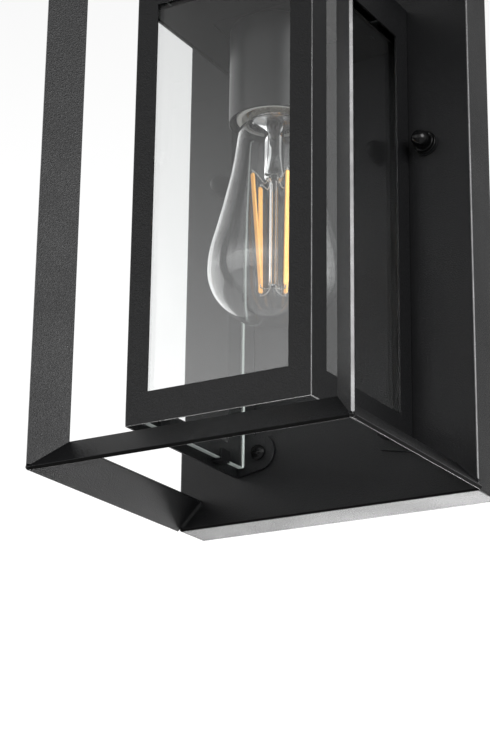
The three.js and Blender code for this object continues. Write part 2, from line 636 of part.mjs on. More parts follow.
// The envelope's outer outline, from the bottom up: a flattened round bottom, a cone, and a shoulder
// that draws in to the cap.
function envelopeOutline(inset) {
  const outline = [];
  const drop = BULB_EQUATOR - BULB_BOTTOM;
  const steps = 8;
  for (let i = 0; i <= steps; i += 1) {
    const angle = (Math.PI / 2) * (i / steps);
    const radius = i === 0 ? 0 : (BULB_RADIUS - inset) * Math.sin(angle);
    outline.push([radius, BULB_EQUATOR - (drop - inset) * Math.cos(angle)]);
  }
  outline.push([BULB_RADIUS - inset - 0.35, BULB_EQUATOR + 6]);
  outline.push([CONE_FOOT.radius - inset, CONE_FOOT.height]);
  outline.push([(CONE_FOOT.radius + NECK.radius) / 2 - 0.15 - inset, (CONE_FOOT.height + NECK.height) / 2]);
  outline.push([NECK.radius - inset, NECK.height]);
  for (const [radius, below] of [[16.2, 3.5], [13.6, 1.6], [12.4, 0.6], [12.2, -3.2]]) {
    outline.push([radius - inset, CAP_BOTTOM - below]);
  }
  return outline;
}

function buildBulb() {
  const outer = envelopeOutline(0);
  const inner = envelopeOutline(BULB_WALL).reverse();
  add("bulb_glass", onLampAxis(turned([...outer, ...inner], 32)), "bulb_glass");

  const capWall = 0.35;
  const cap = turned([
    [CAP_RADIUS - capWall, CAP_BOTTOM], [CAP_RADIUS, CAP_BOTTOM], [CAP_RADIUS, CAP_TOP - 2],
    [CAP_RADIUS - 3, CAP_TOP], [8, CAP_TOP], [8, CAP_TOP - capWall], [CAP_RADIUS - 3.2, CAP_TOP - capWall],
    [CAP_RADIUS - capWall, CAP_TOP - 2.2], [CAP_RADIUS - capWall, CAP_BOTTOM],
  ], 32);
  add("bulb_cap", onLampAxis(cap), "nickel");
  const insulatorTop = CAP_TOP + 4;
  const insulator = turned([
    [3, CAP_TOP + GAP], [9, CAP_TOP + GAP], [5, insulatorTop], [3, insulatorTop], [3, CAP_TOP + GAP],
  ], 24);
  add("bulb_insulator", onLampAxis(insulator), "black_insulation");
  const tip = turned([
    [0, insulatorTop + GAP], [4.4, insulatorTop + GAP], [4.2, insulatorTop + 1], [2.4, insulatorTop + 2.2],
    [0, insulatorTop + 2.6],
  ], 20);
  add("bulb_contact", onLampAxis(tip), "zinc_steel");
}

// The stem is one piece of glass: a flare inside the neck, a tube down to the pinch and a thin rod that
// carries the lower ends of the filaments.
const STEM = { flare: 11, top: CAP_BOTTOM + 0.7, radius: 4.9, pinch: 158, rod: 2.1, bottom: 101 };

function buildStem() {
  const stem = turned([
    [0, STEM.bottom], [STEM.rod + 0.9, STEM.bottom + 1.2], [STEM.rod, STEM.bottom + 3],
    [STEM.rod, STEM.pinch - 2],
    [STEM.radius - 1, STEM.pinch], [STEM.radius, STEM.pinch + 3], [STEM.radius, STEM.top - 8],
    [STEM.radius + 1.6, STEM.top - 3], [STEM.flare, STEM.top], [0, STEM.top],
  ], 20);
  add("bulb_stem", onLampAxis(stem), "bulb_glass");
}

// Four filaments stand round the rod, wider apart at the top than at the bottom.
const FILAMENT = { top: 158.5, bottom: 100, topRadius: 12.5, bottomRadius: 8.6, width: 2.6, depth: 1.2 };
const FILAMENT_TURN = -27; // degrees: the first filament's place, from -Y towards +X
const FILAMENT_TWIST = 12; // degrees: the lower end is turned this much further

function aroundLamp(degrees, radius, height) {
  const angle = THREE.MathUtils.degToRad(degrees);
  return new THREE.Vector3(radius * Math.sin(angle), -radius * Math.cos(angle), height);
}

function filamentEnds(number) {
  const place = FILAMENT_TURN + 90 * number;
  return {
    top: aroundLamp(place, FILAMENT.topRadius, FILAMENT.top),
    bottom: aroundLamp(place + FILAMENT_TWIST, FILAMENT.bottomRadius, FILAMENT.bottom),
  };
}

function buildFilaments() {
  for (let number = 0; number < 4; number += 1) {
    const { top, bottom } = filamentEnds(number);
    const length = top.distanceTo(bottom);
    const bar = new THREE.BoxGeometry(FILAMENT.width, FILAMENT.depth, length);
    const middle = top.clone().add(bottom).multiplyScalar(0.5);
    const upwards = top.clone().sub(bottom).normalize();
    const outwards = new THREE.Vector3(middle.x, middle.y, 0).normalize();
    const sideways = upwards.clone().cross(outwards).normalize();
    const depthwards = sideways.clone().cross(upwards);
    const placed = new THREE.Matrix4().makeBasis(sideways, depthwards, upwards).setPosition(middle);
    if (placed.determinant() < 0) {
      placed.makeBasis(sideways.negate(), depthwards, upwards).setPosition(middle);
    }
    add(`filament_${number + 1}`, onLampAxis(solid(bar.applyMatrix4(placed))), "filament");
  }
}

// Two lead wires leave the foot of the stem, and each holds the upper ends of two filaments; a cross at the
// foot of the rod joins the lower ends.
const LEAD_RADIUS = 0.4;
const LEAD_ROOT = { radius: 4, below: 3.2 }; // where the two halves of a lead meet, below the stem's pinch

function buildLeads() {
  for (const [hand, first, second] of [["front", 0, 1], ["rear", 2, 3]]) {
    const [one, other] = [filamentEnds(first).top, filamentEnds(second).top];
    const root = one.clone().add(other).setZ(0).setLength(LEAD_ROOT.radius);
    const path = [
      [one.x * 0.86, one.y * 0.86, FILAMENT.top + 0.8],
      [root.x, root.y, STEM.pinch - LEAD_ROOT.below],
      [other.x * 0.86, other.y * 0.86, FILAMENT.top + 0.8],
    ];
    add(`lead_wire_${hand}`, onLampAxis(wire(path, LEAD_RADIUS, 12, 6)), "nickel");
  }
  const low = STEM.bottom - 1.4;
  const arms = [0, 1].map((number) => {
    const from = filamentEnds(number).bottom;
    const to = filamentEnds(number + 2).bottom;
    const end = FILAMENT.bottom + 0.6;
    const arm = [[from.x * 0.8, from.y * 0.8, end], [0, 0, low], [to.x * 0.8, to.y * 0.8, end]];
    return wire(arm, LEAD_RADIUS, 8, 6);
  });
  add("filament_bridge", onLampAxis(arms[0].add(arms[1])), "nickel");
}

// ---- Wiring -------------------------------------------------------------------------------------
// Both supply wires leave the nipple into the space above the ceiling, pass the grommet, and run down
// behind the back plate towards the outlet box; the ground wire joins the strap's screw to a rivet.
const WIRE_RADIUS = 0.9;

function buildWiring() {
  const grommet = turned([
    [3.6, -PLATE_SHEET - 2], [7, -PLATE_SHEET - 2], [7, -PLATE_SHEET - GAP],
    [GROMMET_HOLE - GAP, -PLATE_SHEET - GAP], [GROMMET_HOLE - GAP, GAP], [7, GAP], [7, 2], [3.6, 2],
    [3.6, -PLATE_SHEET - 2],
  ], 24);
  add("plate_grommet", facingOut(grommet).translate([0, 0, WIRE_HOLE_HEIGHT]), "rubber");
  const chamber = WIRE_HOLE_HEIGHT + 3.5;
  for (const [name, sign, finish] of [
    ["wire_live", -1, "black_insulation"],
    ["wire_neutral", 1, "white_insulation"],
  ]) {
    const x = sign * 1.5;
    const path = [
      [x, LAMP_Y, HOLDER_TOP - 5], [x, LAMP_Y, SOCKET_PLATE_TOP], [x, LAMP_Y, NIPPLE_TOP + 0.8],
      [x * 1.6, LAMP_Y + 5, chamber], [x * 3, LAMP_Y / 2, chamber - 1], [x, -10, WIRE_HOLE_HEIGHT],
      [x, 0, WIRE_HOLE_HEIGHT],
      [x, 7, WIRE_HOLE_HEIGHT - 2], [x * 3, 12, WIRE_HOLE_HEIGHT - 14], [x * 5, 13, STUD_HEIGHT + 34],
    ];
    add(name, wire(path, WIRE_RADIUS, 60), finish);
  }
  const groundPath = [
    [GROUND_SCREW_X + 3, STRAP_FRONT - 3.6, STUD_HEIGHT + 2], [GROUND_SCREW_X + 4, 14, STUD_HEIGHT + 14],
    [RIVET_X + 3, 9, RIVET_HEIGHT - 26], [RIVET_X, 4.4, RIVET_HEIGHT - 3],
  ];
  add("ground_wire", wire(groundPath, 0.8, 30), "copper");
}

buildCage();
buildBackPlate();
buildMountingStrap();
buildFixings();
buildLampBox();
buildPanes();
buildCeiling();
buildTopCover();
buildEarScrews();
buildLampholder();
buildCentreContact();
buildBulb();
buildStem();
buildFilaments();
buildLeads();
buildWiring();

export default lantern;
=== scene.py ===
"""An outdoor wall lantern: an open cage of black strips round a glazed lamp box with a filament bulb.

Everything is in metres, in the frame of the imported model: +X to the right of someone facing the lantern,
+Y into the wall, +Z up. Sizes are given in millimetres through mm().
"""

import json
import math

import bmesh
import bpy
from mathutils import Matrix, Vector


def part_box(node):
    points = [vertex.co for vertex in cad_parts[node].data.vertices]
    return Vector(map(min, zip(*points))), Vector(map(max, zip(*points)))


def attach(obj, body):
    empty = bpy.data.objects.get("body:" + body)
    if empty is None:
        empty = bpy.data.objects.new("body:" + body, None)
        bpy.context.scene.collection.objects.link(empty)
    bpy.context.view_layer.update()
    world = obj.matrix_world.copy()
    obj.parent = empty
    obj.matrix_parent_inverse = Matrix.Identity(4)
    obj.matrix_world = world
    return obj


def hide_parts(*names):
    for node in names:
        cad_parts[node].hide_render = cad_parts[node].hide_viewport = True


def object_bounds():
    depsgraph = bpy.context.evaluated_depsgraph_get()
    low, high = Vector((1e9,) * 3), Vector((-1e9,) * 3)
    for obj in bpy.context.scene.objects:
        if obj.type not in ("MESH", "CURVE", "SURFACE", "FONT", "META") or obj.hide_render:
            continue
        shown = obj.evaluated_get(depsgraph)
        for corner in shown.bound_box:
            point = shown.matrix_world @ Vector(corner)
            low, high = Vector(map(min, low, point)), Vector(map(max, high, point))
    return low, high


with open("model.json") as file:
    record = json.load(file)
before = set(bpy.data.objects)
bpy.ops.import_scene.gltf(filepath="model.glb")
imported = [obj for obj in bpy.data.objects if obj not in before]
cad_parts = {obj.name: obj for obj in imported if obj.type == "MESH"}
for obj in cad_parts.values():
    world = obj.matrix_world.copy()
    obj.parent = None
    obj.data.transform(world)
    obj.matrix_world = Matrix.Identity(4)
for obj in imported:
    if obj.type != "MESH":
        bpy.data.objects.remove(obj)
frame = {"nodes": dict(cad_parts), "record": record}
cad_low, cad_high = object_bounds()
NODES = frame["nodes"]
BODY_OF = {node: body for body, nodes in frame["record"]["behaviour"]["bodies"].items() for node in nodes}
SLOT_OF = {row["node"]: row["material_slot"] for row in frame["record"]["subparts"]}


def mm(value):
    return value / 1000


# ---- Places read from the frame ------------------------------------------------------------------
plate_low, plate_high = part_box("back_plate")
PLATE_FRONT = plate_low.y
BOTTOM = plate_low.z
TOP = plate_high.z
HALF_WIDTH = plate_high.x
CAGE_FRONT = cad_low.y
CAGE_SIDE = cad_high.x
housing_low, housing_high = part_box("lamp_housing")
bulb_low, bulb_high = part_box("bulb_glass")
LAMP = Vector(((bulb_low.x + bulb_high.x) / 2, (bulb_low.y + bulb_high.y) / 2, 0))  # on the bulb's axis
HANDS = (("left", -1), ("right", 1))  # and their signs along X
LEVELS = (("bottom", BOTTOM, 1), ("top", TOP, -1))  # their heights, and the way along Z to the middle

# ---- Camera, fitted to the photograph's view -----------------------------------------------------
CAMERA_AZIMUTH = math.radians(31.05)
CAMERA_ELEVATION = math.radians(-18.96)
CAMERA_ROLL = math.radians(0.75)
CAMERA_DISTANCE = mm(965.4)
CAMERA_AIM = Vector((0, PLATE_FRONT - mm(75.9), BOTTOM + mm(52)))
CAMERA_LENS = 100.7  # in millimetres, for Blender's 36 mm sensor
NEAREST_SEEN = mm(10)


def make_camera():
    data = bpy.data.cameras.new("camera")
    data.lens = CAMERA_LENS
    data.clip_start = NEAREST_SEEN
    camera = bpy.data.objects.new("camera", data)
    level = math.cos(CAMERA_ELEVATION)
    forward = Vector((
        -math.sin(CAMERA_AZIMUTH) * level,
        math.cos(CAMERA_AZIMUTH) * level,
        -math.sin(CAMERA_ELEVATION),
    ))
    right = forward.cross(Vector((0, 0, 1))).normalized()
    up = right.cross(forward)
    turn = Matrix.Rotation(-CAMERA_ROLL, 3, forward)
    right, up = turn @ right, turn @ up
    axes = Matrix((right, up, -forward)).transposed().to_4x4()
    camera.matrix_world = Matrix.Translation(CAMERA_AIM - forward * CAMERA_DISTANCE) @ axes
    bpy.context.scene.collection.objects.link(camera)
    bpy.context.scene.camera = camera


# ---- Materials -----------------------------------------------------------------------------------
NOISE_LOW, NOISE_HIGH = 0.3, 0.7  # a noise texture's value lies mostly between these


class Nodes:
    """A short way to build a material's node tree."""

    def __init__(self, name):
        self.material = bpy.data.materials.new(name)
        self.material.use_nodes = True
        self.tree = self.material.node_tree
        self.tree.nodes.clear()
        self.output = self.add("ShaderNodeOutputMaterial")

    def add(self, kind, **settings):
        """Adds a node; a setting is a property of it, or else one of its inputs with _ for spaces."""
        node = self.tree.nodes.new(kind)
        for key, value in settings.items():
            if hasattr(node, key):
                setattr(node, key, value)
            else:
                self.feed(node.inputs[key.replace("_", " ")], value)
        return node

    def feed(self, socket, value):
        if isinstance(value, bpy.types.NodeSocket):
            self.tree.links.new(value, socket)
        else:
            socket.default_value = value

    def principled(self, **inputs):
        node = self.add("ShaderNodeBsdfPrincipled", **inputs)
        self.feed(self.output.inputs["Surface"], node.outputs[0])
        return node

    def position(self):
        return self.add("ShaderNodeTexCoord").outputs["Object"]

    def noise(self, size, detail=2.0, roughness=0.5):
        """A noise whose blotches are about size across."""
        node = self.add("ShaderNodeTexNoise", Scale=1 / size, Detail=detail, Roughness=roughness)
        self.feed(node.inputs["Vector"], self.position())
        return node.outputs["Fac"]

    def between(self, value, low, high):
        """Spreads a noise's value from low to high."""
        node = self.add("ShaderNodeMapRange", From_Min=NOISE_LOW, From_Max=NOISE_HIGH)
        self.feed(node.inputs["Value"], value)
        self.feed(node.inputs["To Min"], low)
        self.feed(node.inputs["To Max"], high)
        return node.outputs[0]

    def blend(self, factor, first, second):
        node = self.add("ShaderNodeMix", data_type="RGBA")
        self.feed(node.inputs["Factor"], factor)
        self.feed(node.inputs["A"], first)
        self.feed(node.inputs["B"], second)
        return node.outputs[2]

    def bump(self, height, distance, strength=1.0):
        node = self.add("ShaderNodeBump", Strength=strength, Distance=distance)
        self.feed(node.inputs["Height"], height)
        return node.outputs[0]


def rgb(red, green, blue):
    return (red, green, blue, 1.0)


def powder_coat(name, base, grain, depth, roughness):
    """Sand-textured powder coat: fine grains that speckle the colour, the gloss and the surface."""
    m = Nodes(name)
    grains = m.noise(grain, detail=3.0, roughness=0.65)
    cloud = m.noise(mm(30), detail=2.0)
    dark = rgb(*(value * 0.5 for value in base))
    light = rgb(*(value * 2.0 for value in base))
    colour = m.blend(m.between(grains, 0.0, 1.0), dark, light)
    gloss = m.between(grains, roughness + 0.07, roughness - 0.07)
    uneven = m.between(cloud, -0.03, 0.03)
    cloudy_gloss = m.add("ShaderNodeMath", operation="ADD")
    m.feed(cloudy_gloss.inputs[0], gloss)
    m.feed(cloudy_gloss.inputs[1], uneven)
    m.principled(
        Base_Color=colour,
        Roughness=cloudy_gloss.outputs[0],
        Specular_IOR_Level=0.22,
        Normal=m.bump(grains, depth),
    )
    return m.material


def edge_highlight_paint(name, base, roughness):
    """Paint along an edge, smoother than the faces beside it and lighter: the lighter colour is a painted
    highlight.
    """
    m = Nodes(name)
    grains = m.noise(mm(0.6), detail=3.0)
    patchiness = m.noise(mm(9), detail=3.0)
    # painted highlight: the edge's base colour, made lighter and darker in patches
    dark = rgb(*(value * 0.6 for value in base))
    light = rgb(*(value * 1.6 for value in base))
    m.principled(
        Base_Color=m.blend(m.between(patchiness, 0.0, 1.0), dark, light),
        Roughness=m.between(patchiness, roughness + 0.06, roughness - 0.06),
        Specular_IOR_Level=0.52,
        Normal=m.bump(grains, mm(0.03)),
    )
    return m.material


def smooth_paint(name, base, roughness, gloss):
    """Satin paint with the faint waviness of sprayed enamel."""
    m = Nodes(name)
    waves = m.noise(mm(2.5), detail=2.0)
    fine = m.noise(mm(0.5), detail=2.0)
    dark = rgb(*(value * 0.9 for value in base))
    light = rgb(*(value * 1.1 for value in base))
    m.principled(
        Base_Color=m.blend(fine, dark, light),
        Roughness=m.between(fine, roughness - 0.04, roughness + 0.04),
        Specular_IOR_Level=gloss,
        Normal=m.bump(waves, mm(0.02)),
    )
    return m.material


def through_shadows(m, shader):
    """Lets lamps shine through glass: rays from lamps pass straight on."""
    clear = m.add("ShaderNodeBsdfTransparent", Color=rgb(0.94, 0.95, 0.945))
    mix = m.add("ShaderNodeMixShader")
    m.feed(mix.inputs[0], m.add("ShaderNodeLightPath").outputs["Is Shadow Ray"])
    m.feed(mix.inputs[1], shader.outputs[0])
    m.feed(mix.inputs[2], clear.outputs[0])
    m.feed(m.output.inputs["Surface"], mix.outputs[0])


def pane_glass():
    """Flat window glass with a faint smear."""
    m = Nodes("pane_glass")
    smear = m.noise(mm(22), detail=3.0)
    shader = m.principled(
        Base_Color=rgb(0.975, 0.982, 0.98),
        Roughness=m.between(smear, 0.0, 0.012),
        IOR=1.5,
        Transmission_Weight=1.0,
    )
    through_shadows(m, shader)
    return m.material


def ground_edge():
    """The panes' ground edges: frosted and faintly green."""
    m = Nodes("ground_edge")
    grit = m.noise(mm(0.4), detail=3.0)
    m.principled(
        Base_Color=m.blend(grit, rgb(0.36, 0.4, 0.385), rgb(0.5, 0.54, 0.52)),
        Roughness=0.4,
        Transmission_Weight=0.3,
        Normal=m.bump(grit, mm(0.05)),
    )
    return m.material


def blown_glass():
    """Blown glass, slightly wavy and slightly smoky."""
    m = Nodes("blown_glass")
    waves = m.noise(mm(14), detail=1.0)
    shader = m.principled(
        Base_Color=rgb(0.935, 0.94, 0.94),
        Roughness=0.0,
        IOR=1.5,
        Transmission_Weight=1.0,
        Normal=m.bump(waves, mm(0.12), strength=0.5),
    )
    through_shadows(m, shader)
    return m.material


def plated(name, base, roughness):
    """Bright metal with fine marks and a little tarnish."""
    m = Nodes(name)
    marks = m.noise(mm(0.6), detail=3.0)
    tarnish = m.noise(mm(6), detail=2.0)
    dull = rgb(*(value * 0.75 for value in base))
    m.principled(
        Base_Color=m.blend(m.between(tarnish, 0.0, 1.0), dull, rgb(*base)),
        Metallic=1.0,
        Roughness=m.between(marks, roughness - 0.05, roughness + 0.05),
        Normal=m.bump(marks, mm(0.01)),
    )
    return m.material


def ceramic():
    """Glazed porcelain, faintly speckled."""
    m = Nodes("ceramic")
    waves = m.noise(mm(3), detail=2.0)
    specks = m.noise(mm(0.8), detail=2.0)
    m.principled(
        Base_Color=m.blend(m.between(specks, 0.0, 1.0), rgb(0.74, 0.73, 0.7), rgb(0.84, 0.83, 0.8)),
        Roughness=0.32,
        Coat_Weight=0.4,
        Coat_Roughness=0.1,
        Normal=m.bump(waves, mm(0.05)),
    )
    return m.material


def phosphor_painted_glow():
    """The filaments' amber coating: a grainy silicone, with a faint painted glow in its emission."""
    m = Nodes("phosphor_painted_glow")
    grains = m.noise(mm(0.35), detail=2.0)
    m.principled(
        Base_Color=m.blend(grains, rgb(0.92, 0.44, 0.1), rgb(0.98, 0.52, 0.14)),
        Roughness=0.6,
        # a painted glow: the unlit filaments give off a little amber light of their own
        Emission_Color=rgb(1.0, 0.46, 0.12),
        Emission_Strength=0.2,
        Normal=m.bump(grains, mm(0.05)),
    )
    return m.material


def moulded(name, base, roughness, gloss=0.5):
    """Moulded plastic or rubber, or a flat coat darker than the powder coat, with a fine even skin."""
    m = Nodes(name)
    skin = m.noise(mm(0.7), detail=3.0)
    dark = rgb(*(value * 0.85 for value in base))
    m.principled(
        Base_Color=m.blend(skin, dark, rgb(*base)),
        Roughness=m.between(skin, roughness - 0.05, roughness + 0.05),
        Specular_IOR_Level=gloss,
        Normal=m.bump(skin, mm(0.03)),
    )
    return m.material


MATERIALS = {
    "powder_coat": powder_coat("powder_coat", (0.003, 0.0031, 0.0034), mm(0.75), mm(0.2), 0.4),
    # darker and duller than the powder coat: painted shade on the bars' outer edges and the plate's top
    # and bottom folds; the ceiling plate also takes it
    "flat_coat_and_painted_shade": moulded("flat_coat_and_painted_shade", (0.0012, 0.0012, 0.0012), 0.6, 0.1),
    # edge paint ten times lighter than the powder coat: a painted highlight on edges and folds
    "painted_highlight_edge": edge_highlight_paint("painted_highlight_edge", (0.03, 0.03, 0.031), 0.3),
    "nut_paint": smooth_paint("nut_paint", (0.0015, 0.0015, 0.0016), 0.24, 0.2),
    "clear_glass": pane_glass(),
    "ground_edge": ground_edge(),
    "bulb_glass": blown_glass(),
    "smooth_paint": smooth_paint("smooth_paint", (0.004, 0.0041, 0.0044), 0.34, 0.35),
    "zinc_steel": plated("zinc_steel", (0.62, 0.63, 0.65), 0.34),
    "nickel": plated("nickel", (0.66, 0.64, 0.6), 0.26),
    "brass": plated("brass", (0.72, 0.56, 0.3), 0.3),
    "porcelain": ceramic(),
    "filament": phosphor_painted_glow(),
    "black_insulation": moulded("black_insulation", (0.02, 0.02, 0.02), 0.45),
    "white_insulation": moulded("white_insulation", (0.8, 0.8, 0.77), 0.45),
    "copper": plated("copper", (0.78, 0.42, 0.28), 0.35),
    "green_screw": plated("green_screw", (0.08, 0.35, 0.15), 0.35),
    "rubber": moulded("rubber", (0.015, 0.015, 0.015), 0.7),
}


# ---- Mesh helpers --------------------------------------------------------------------------------
SMOOTH_BELOW = math.radians(35)  # gentler bends than this are shaded smoothly
SHARP_ABOVE = math.radians(30)  # an edge bent more than this can be rounded
FLAT_BELOW = math.radians(1)  # faces that meet at less than this are one flat face
CAD_GAP = mm(0.005)  # vertices of a CAD mesh closer than this are one
SEAM = mm(0.001)  # vertices of a turned mesh closer than this are one
TINY = 1e-7  # in metres: as good as nothing
CLOSE = mm(0.1)  # how near counts as being at a place


def at(value, *places):
    """Whether the value is close to one of the places."""
    return any(abs(value - place) < CLOSE for place in places)


def shade_smooth(mesh, below):
    """Shades bends below the angle smoothly.

    Faces count by their area, so a flat face beside a rounded edge stays flat.
    """
    faces_at = [[] for _ in mesh.vertices]
    faces = [(polygon.normal.copy(), polygon.area) for polygon in mesh.polygons]
    for polygon, face in zip(mesh.polygons, faces):
        polygon.use_smooth = True
        for vertex in polygon.vertices:
            faces_at[vertex].append(face)
    limit = math.cos(below)
    corners = []
    for polygon, (normal, area) in zip(mesh.polygons, faces):
        for vertex in polygon.vertices:
            around = (n * a for n, a in faces_at[vertex] if n.dot(normal) > limit)
            corners.append(sum(around, Vector()).normalized())
    mesh.normals_split_custom_set(corners)


def make_piece(name, bm, body, slot, material=None, smooth_below=SMOOTH_BELOW):
    """Makes a piece of the object from bm, riding on the body, in the slot's material or a named one."""
    bmesh.ops.recalc_face_normals(bm, faces=bm.faces)
    mesh = bpy.data.meshes.new(name)
    bm.to_mesh(mesh)
    bm.free()
    shade_smooth(mesh, smooth_below)
    mesh.materials.append(MATERIALS[material or slot])
    piece = bpy.data.objects.new(name, mesh)
    bpy.context.scene.collection.objects.link(piece)
    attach(piece, body)
    return piece


def finish_piece(name, bm, node, material=None, smooth_below=SMOOTH_BELOW):
    """Makes a piece that takes the place of a CAD node."""
    piece = make_piece(name, bm, BODY_OF[node], SLOT_OF[node], material, smooth_below)
    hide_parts(node)
    return piece


def add_piece(name, bm, near, slot, material=None):
    """Makes a small piece that the CAD model doesn't have, on the body of the node it belongs to."""
    return make_piece(name, bm, BODY_OF[near], slot, material)


def another_material(piece, material, pick):
    """Gives the faces that pick chooses, by their normal and middle, another material."""
    piece.data.materials.append(MATERIALS[material])
    for polygon in piece.data.polygons:
        if pick(polygon.normal, polygon.center):
            polygon.material_index = len(piece.data.materials) - 1


def cad_copy(node):
    """The CAD node's mesh as clean polygons: welded, with flat areas merged into one face each."""
    bm = bmesh.new()
    bm.from_mesh(NODES[node].data)
    bmesh.ops.remove_doubles(bm, verts=bm.verts, dist=CAD_GAP)
    bmesh.ops.dissolve_limit(
        bm, angle_limit=FLAT_BELOW, verts=bm.verts, edges=bm.edges, use_dissolve_boundaries=False
    )
    return bm


def sharp_edges(bm, pick=lambda middle, direction: True):
    """The sharp edges that pick chooses, by their middle and direction."""
    chosen = []
    for edge in bm.edges:
        if len(edge.link_faces) != 2 or edge.calc_face_angle(0) < SHARP_ABOVE:
            continue
        first, second = edge.verts
        direction = (second.co - first.co).normalized()
        if pick((first.co + second.co) / 2, direction):
            chosen.append(edge)
    return chosen


def round_edges(bm, edges, radius, segments=2):
    """Rounds the edges, or chamfers them if there is only one segment."""
    if edges:
        bmesh.ops.bevel(
            bm, geom=edges, offset=radius, segments=segments, profile=0.5,
            affect="EDGES", clamp_overlap=True, offset_type="OFFSET",
        )


def soften(node, radius, bends=None, bend_radius=0.0, material=None):
    """A CAD node with its sharp edges rounded, and the folds that bends chooses more so."""
    bm = cad_copy(node)
    if bends is not None:
        round_edges(bm, sharp_edges(bm, bends), bend_radius, 4)
    round_edges(bm, sharp_edges(bm), radius)
    return finish_piece(node + "_sheet", bm, node, material)


def revolve(outline, sides, centre, axis="Z"):
    """A turned shape from [radius, height] pairs. Heights run along +Z, or along -Y for axis "-Y"."""
    bm = bmesh.new()
    rings = []
    for radius, height in outline:
        ring = []
        count = 1 if radius < TINY else sides
        for i in range(count):
            angle = 2 * math.pi * i / sides
            x, y = radius * math.cos(angle), radius * math.sin(angle)
            place = Vector((x, y, height)) if axis == "Z" else Vector((x, -height, y))
            ring.append(bm.verts.new(centre + place))
        rings.append(ring)
    for lower, upper in zip(rings, rings[1:]):
        for i in range(sides):
            j = (i + 1) % sides
            corners = dict.fromkeys((
                lower[i % len(lower)],
                lower[j % len(lower)],
                upper[j % len(upper)],
                upper[i % len(upper)],
            ))
            if len(corners) > 2:
                bm.faces.new(tuple(corners))
    bmesh.ops.remove_doubles(bm, verts=bm.verts, dist=SEAM)
    return bm


def lathe_outline(node, axis="Z"):
    """The [radius, height] outline of a turned CAD node, and whether the outline is closed."""
    low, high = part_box(node)
    middle = (low + high) / 2
    bm = bmesh.new()
    bm.from_mesh(NODES[node].data)
    bmesh.ops.remove_doubles(bm, verts=bm.verts, dist=CAD_GAP)

    def polar(vert):
        x = vert.co.x - middle.x
        y = vert.co.y - middle.y if axis == "Z" else vert.co.z - middle.z
        return math.hypot(x, y), math.atan2(y, x), vert.co.z if axis == "Z" else -vert.co.y

    start_angle = polar(max(bm.verts, key=lambda vert: polar(vert)[0]))[1]
    on_axis = mm(0.01)
    same_angle = 0.01

    def in_plane(vert):
        radius, angle, height = polar(vert)
        return radius < on_axis or abs(math.remainder(angle - start_angle, 2 * math.pi)) < same_angle

    profile = dict.fromkeys(vert for vert in bm.verts if in_plane(vert))
    links = {
        vert: [edge.other_vert(vert) for edge in vert.link_edges if edge.other_vert(vert) in profile]
        for vert in profile
    }
    ends = [vert for vert in profile if len(links[vert]) == 1 or polar(vert)[0] < on_axis]
    here = min(ends or profile, key=lambda vert: (polar(vert)[2], polar(vert)[0]))
    path = []
    while here is not None:
        path.append(here)
        here = next((vert for vert in links[here] if vert not in path), None)
    outline = [(polar(vert)[0], polar(vert)[2]) for vert in path]
    bm.free()
    if not ends:
        return outline, True
    for place in (0, -1):
        if outline[place][0] > on_axis:
            outline.insert(0 if place == 0 else len(outline), (0.0, outline[place][1]))
    return outline, False


CORNER_SHARE = 0.4  # how much of a stretch of outline the rounding of a corner may take up
CORNER_PULL = 1.4  # how strongly the corner itself pulls on the middle of its rounding
STRAIGHT_ABOVE = math.radians(160)


def eased(outline, closed, size):
    """Rounds the outline's corners by up to size."""
    points = [Vector(point) for point in outline]
    count = len(points)
    result = []
    for i, point in enumerate(points):
        if not closed and i in (0, count - 1):
            result.append(tuple(point))
            continue
        before, after = points[i - 1] - point, points[(i + 1) % count] - point
        shorter = min(before.length, after.length)
        if shorter < TINY or before.angle(after) > STRAIGHT_ABOVE:
            result.append(tuple(point))
            continue
        reach = min(size, shorter * CORNER_SHARE)
        first, last = point + before.normalized() * reach, point + after.normalized() * reach
        middle = (first + last + CORNER_PULL * point) / (2 + CORNER_PULL)
        result += [tuple(first), tuple(middle), tuple(last)]
    if closed:
        result.append(result[0])
    return result


def turned_again(node, ease, sides=80, axis="Z"):
    """A CAD node turned again with more sides and rounded corners."""
    outline, closed = lathe_outline(node, axis)
    low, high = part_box(node)
    middle = (low + high) / 2
    centre = Vector((middle.x, middle.y, 0)) if axis == "Z" else Vector((middle.x, 0, middle.z))
    bm = revolve(eased(outline, closed, ease), sides, centre, axis)
    finish_piece(node + "_turned", bm, node)


def curve_through(points, steps=8):
    """A Catmull-Rom curve through the points, with so many steps from each to the next."""
    points = [Vector(point) for point in points]
    ends = [points[0], *points, points[-1]]
    path = []
    for a, b, c, d in zip(ends, ends[1:], ends[2:], ends[3:]):
        for i in range(steps):
            t = i / steps
            square = 2 * a - 5 * b + 4 * c - d
            cube = 3 * b - a - 3 * c + d
            path.append(0.5 * (2 * b + (c - a) * t + square * t ** 2 + cube * t ** 3))
    path.append(points[-1])
    return path


def smooth_outline(points, steps):
    """A curve through [radius, height] points; radii never go below the axis."""
    return [(max(0.0, radius), height) for radius, height in curve_through(points, steps)]


def arc(centre, radius, start, end, steps):
    """Points on a round stretch of an outline, with angles in degrees from the radius axis."""
    points = []
    for i in range(steps + 1):
        angle = math.radians(start + (end - start) * i / steps)
        out, up = radius * math.cos(angle), radius * math.sin(angle)
        points.append((max(0.0, centre[0] + out), centre[1] + up))
    return points


def in_mm(points):
    return [(mm(radius), mm(height)) for radius, height in points]


def skin(bm, rings):
    """Adds a closed surface over the rings of points to bm."""
    rings = [[bm.verts.new(point) for point in ring] for ring in rings]
    for lower, upper in zip(rings, rings[1:]):
        for k in range(len(lower)):
            following = (k + 1) % len(lower)
            bm.faces.new((lower[k], lower[following], upper[following], upper[k]))
    bm.faces.new(reversed(rings[0]))
    bm.faces.new(rings[-1])


WIRE_SIDES = 8


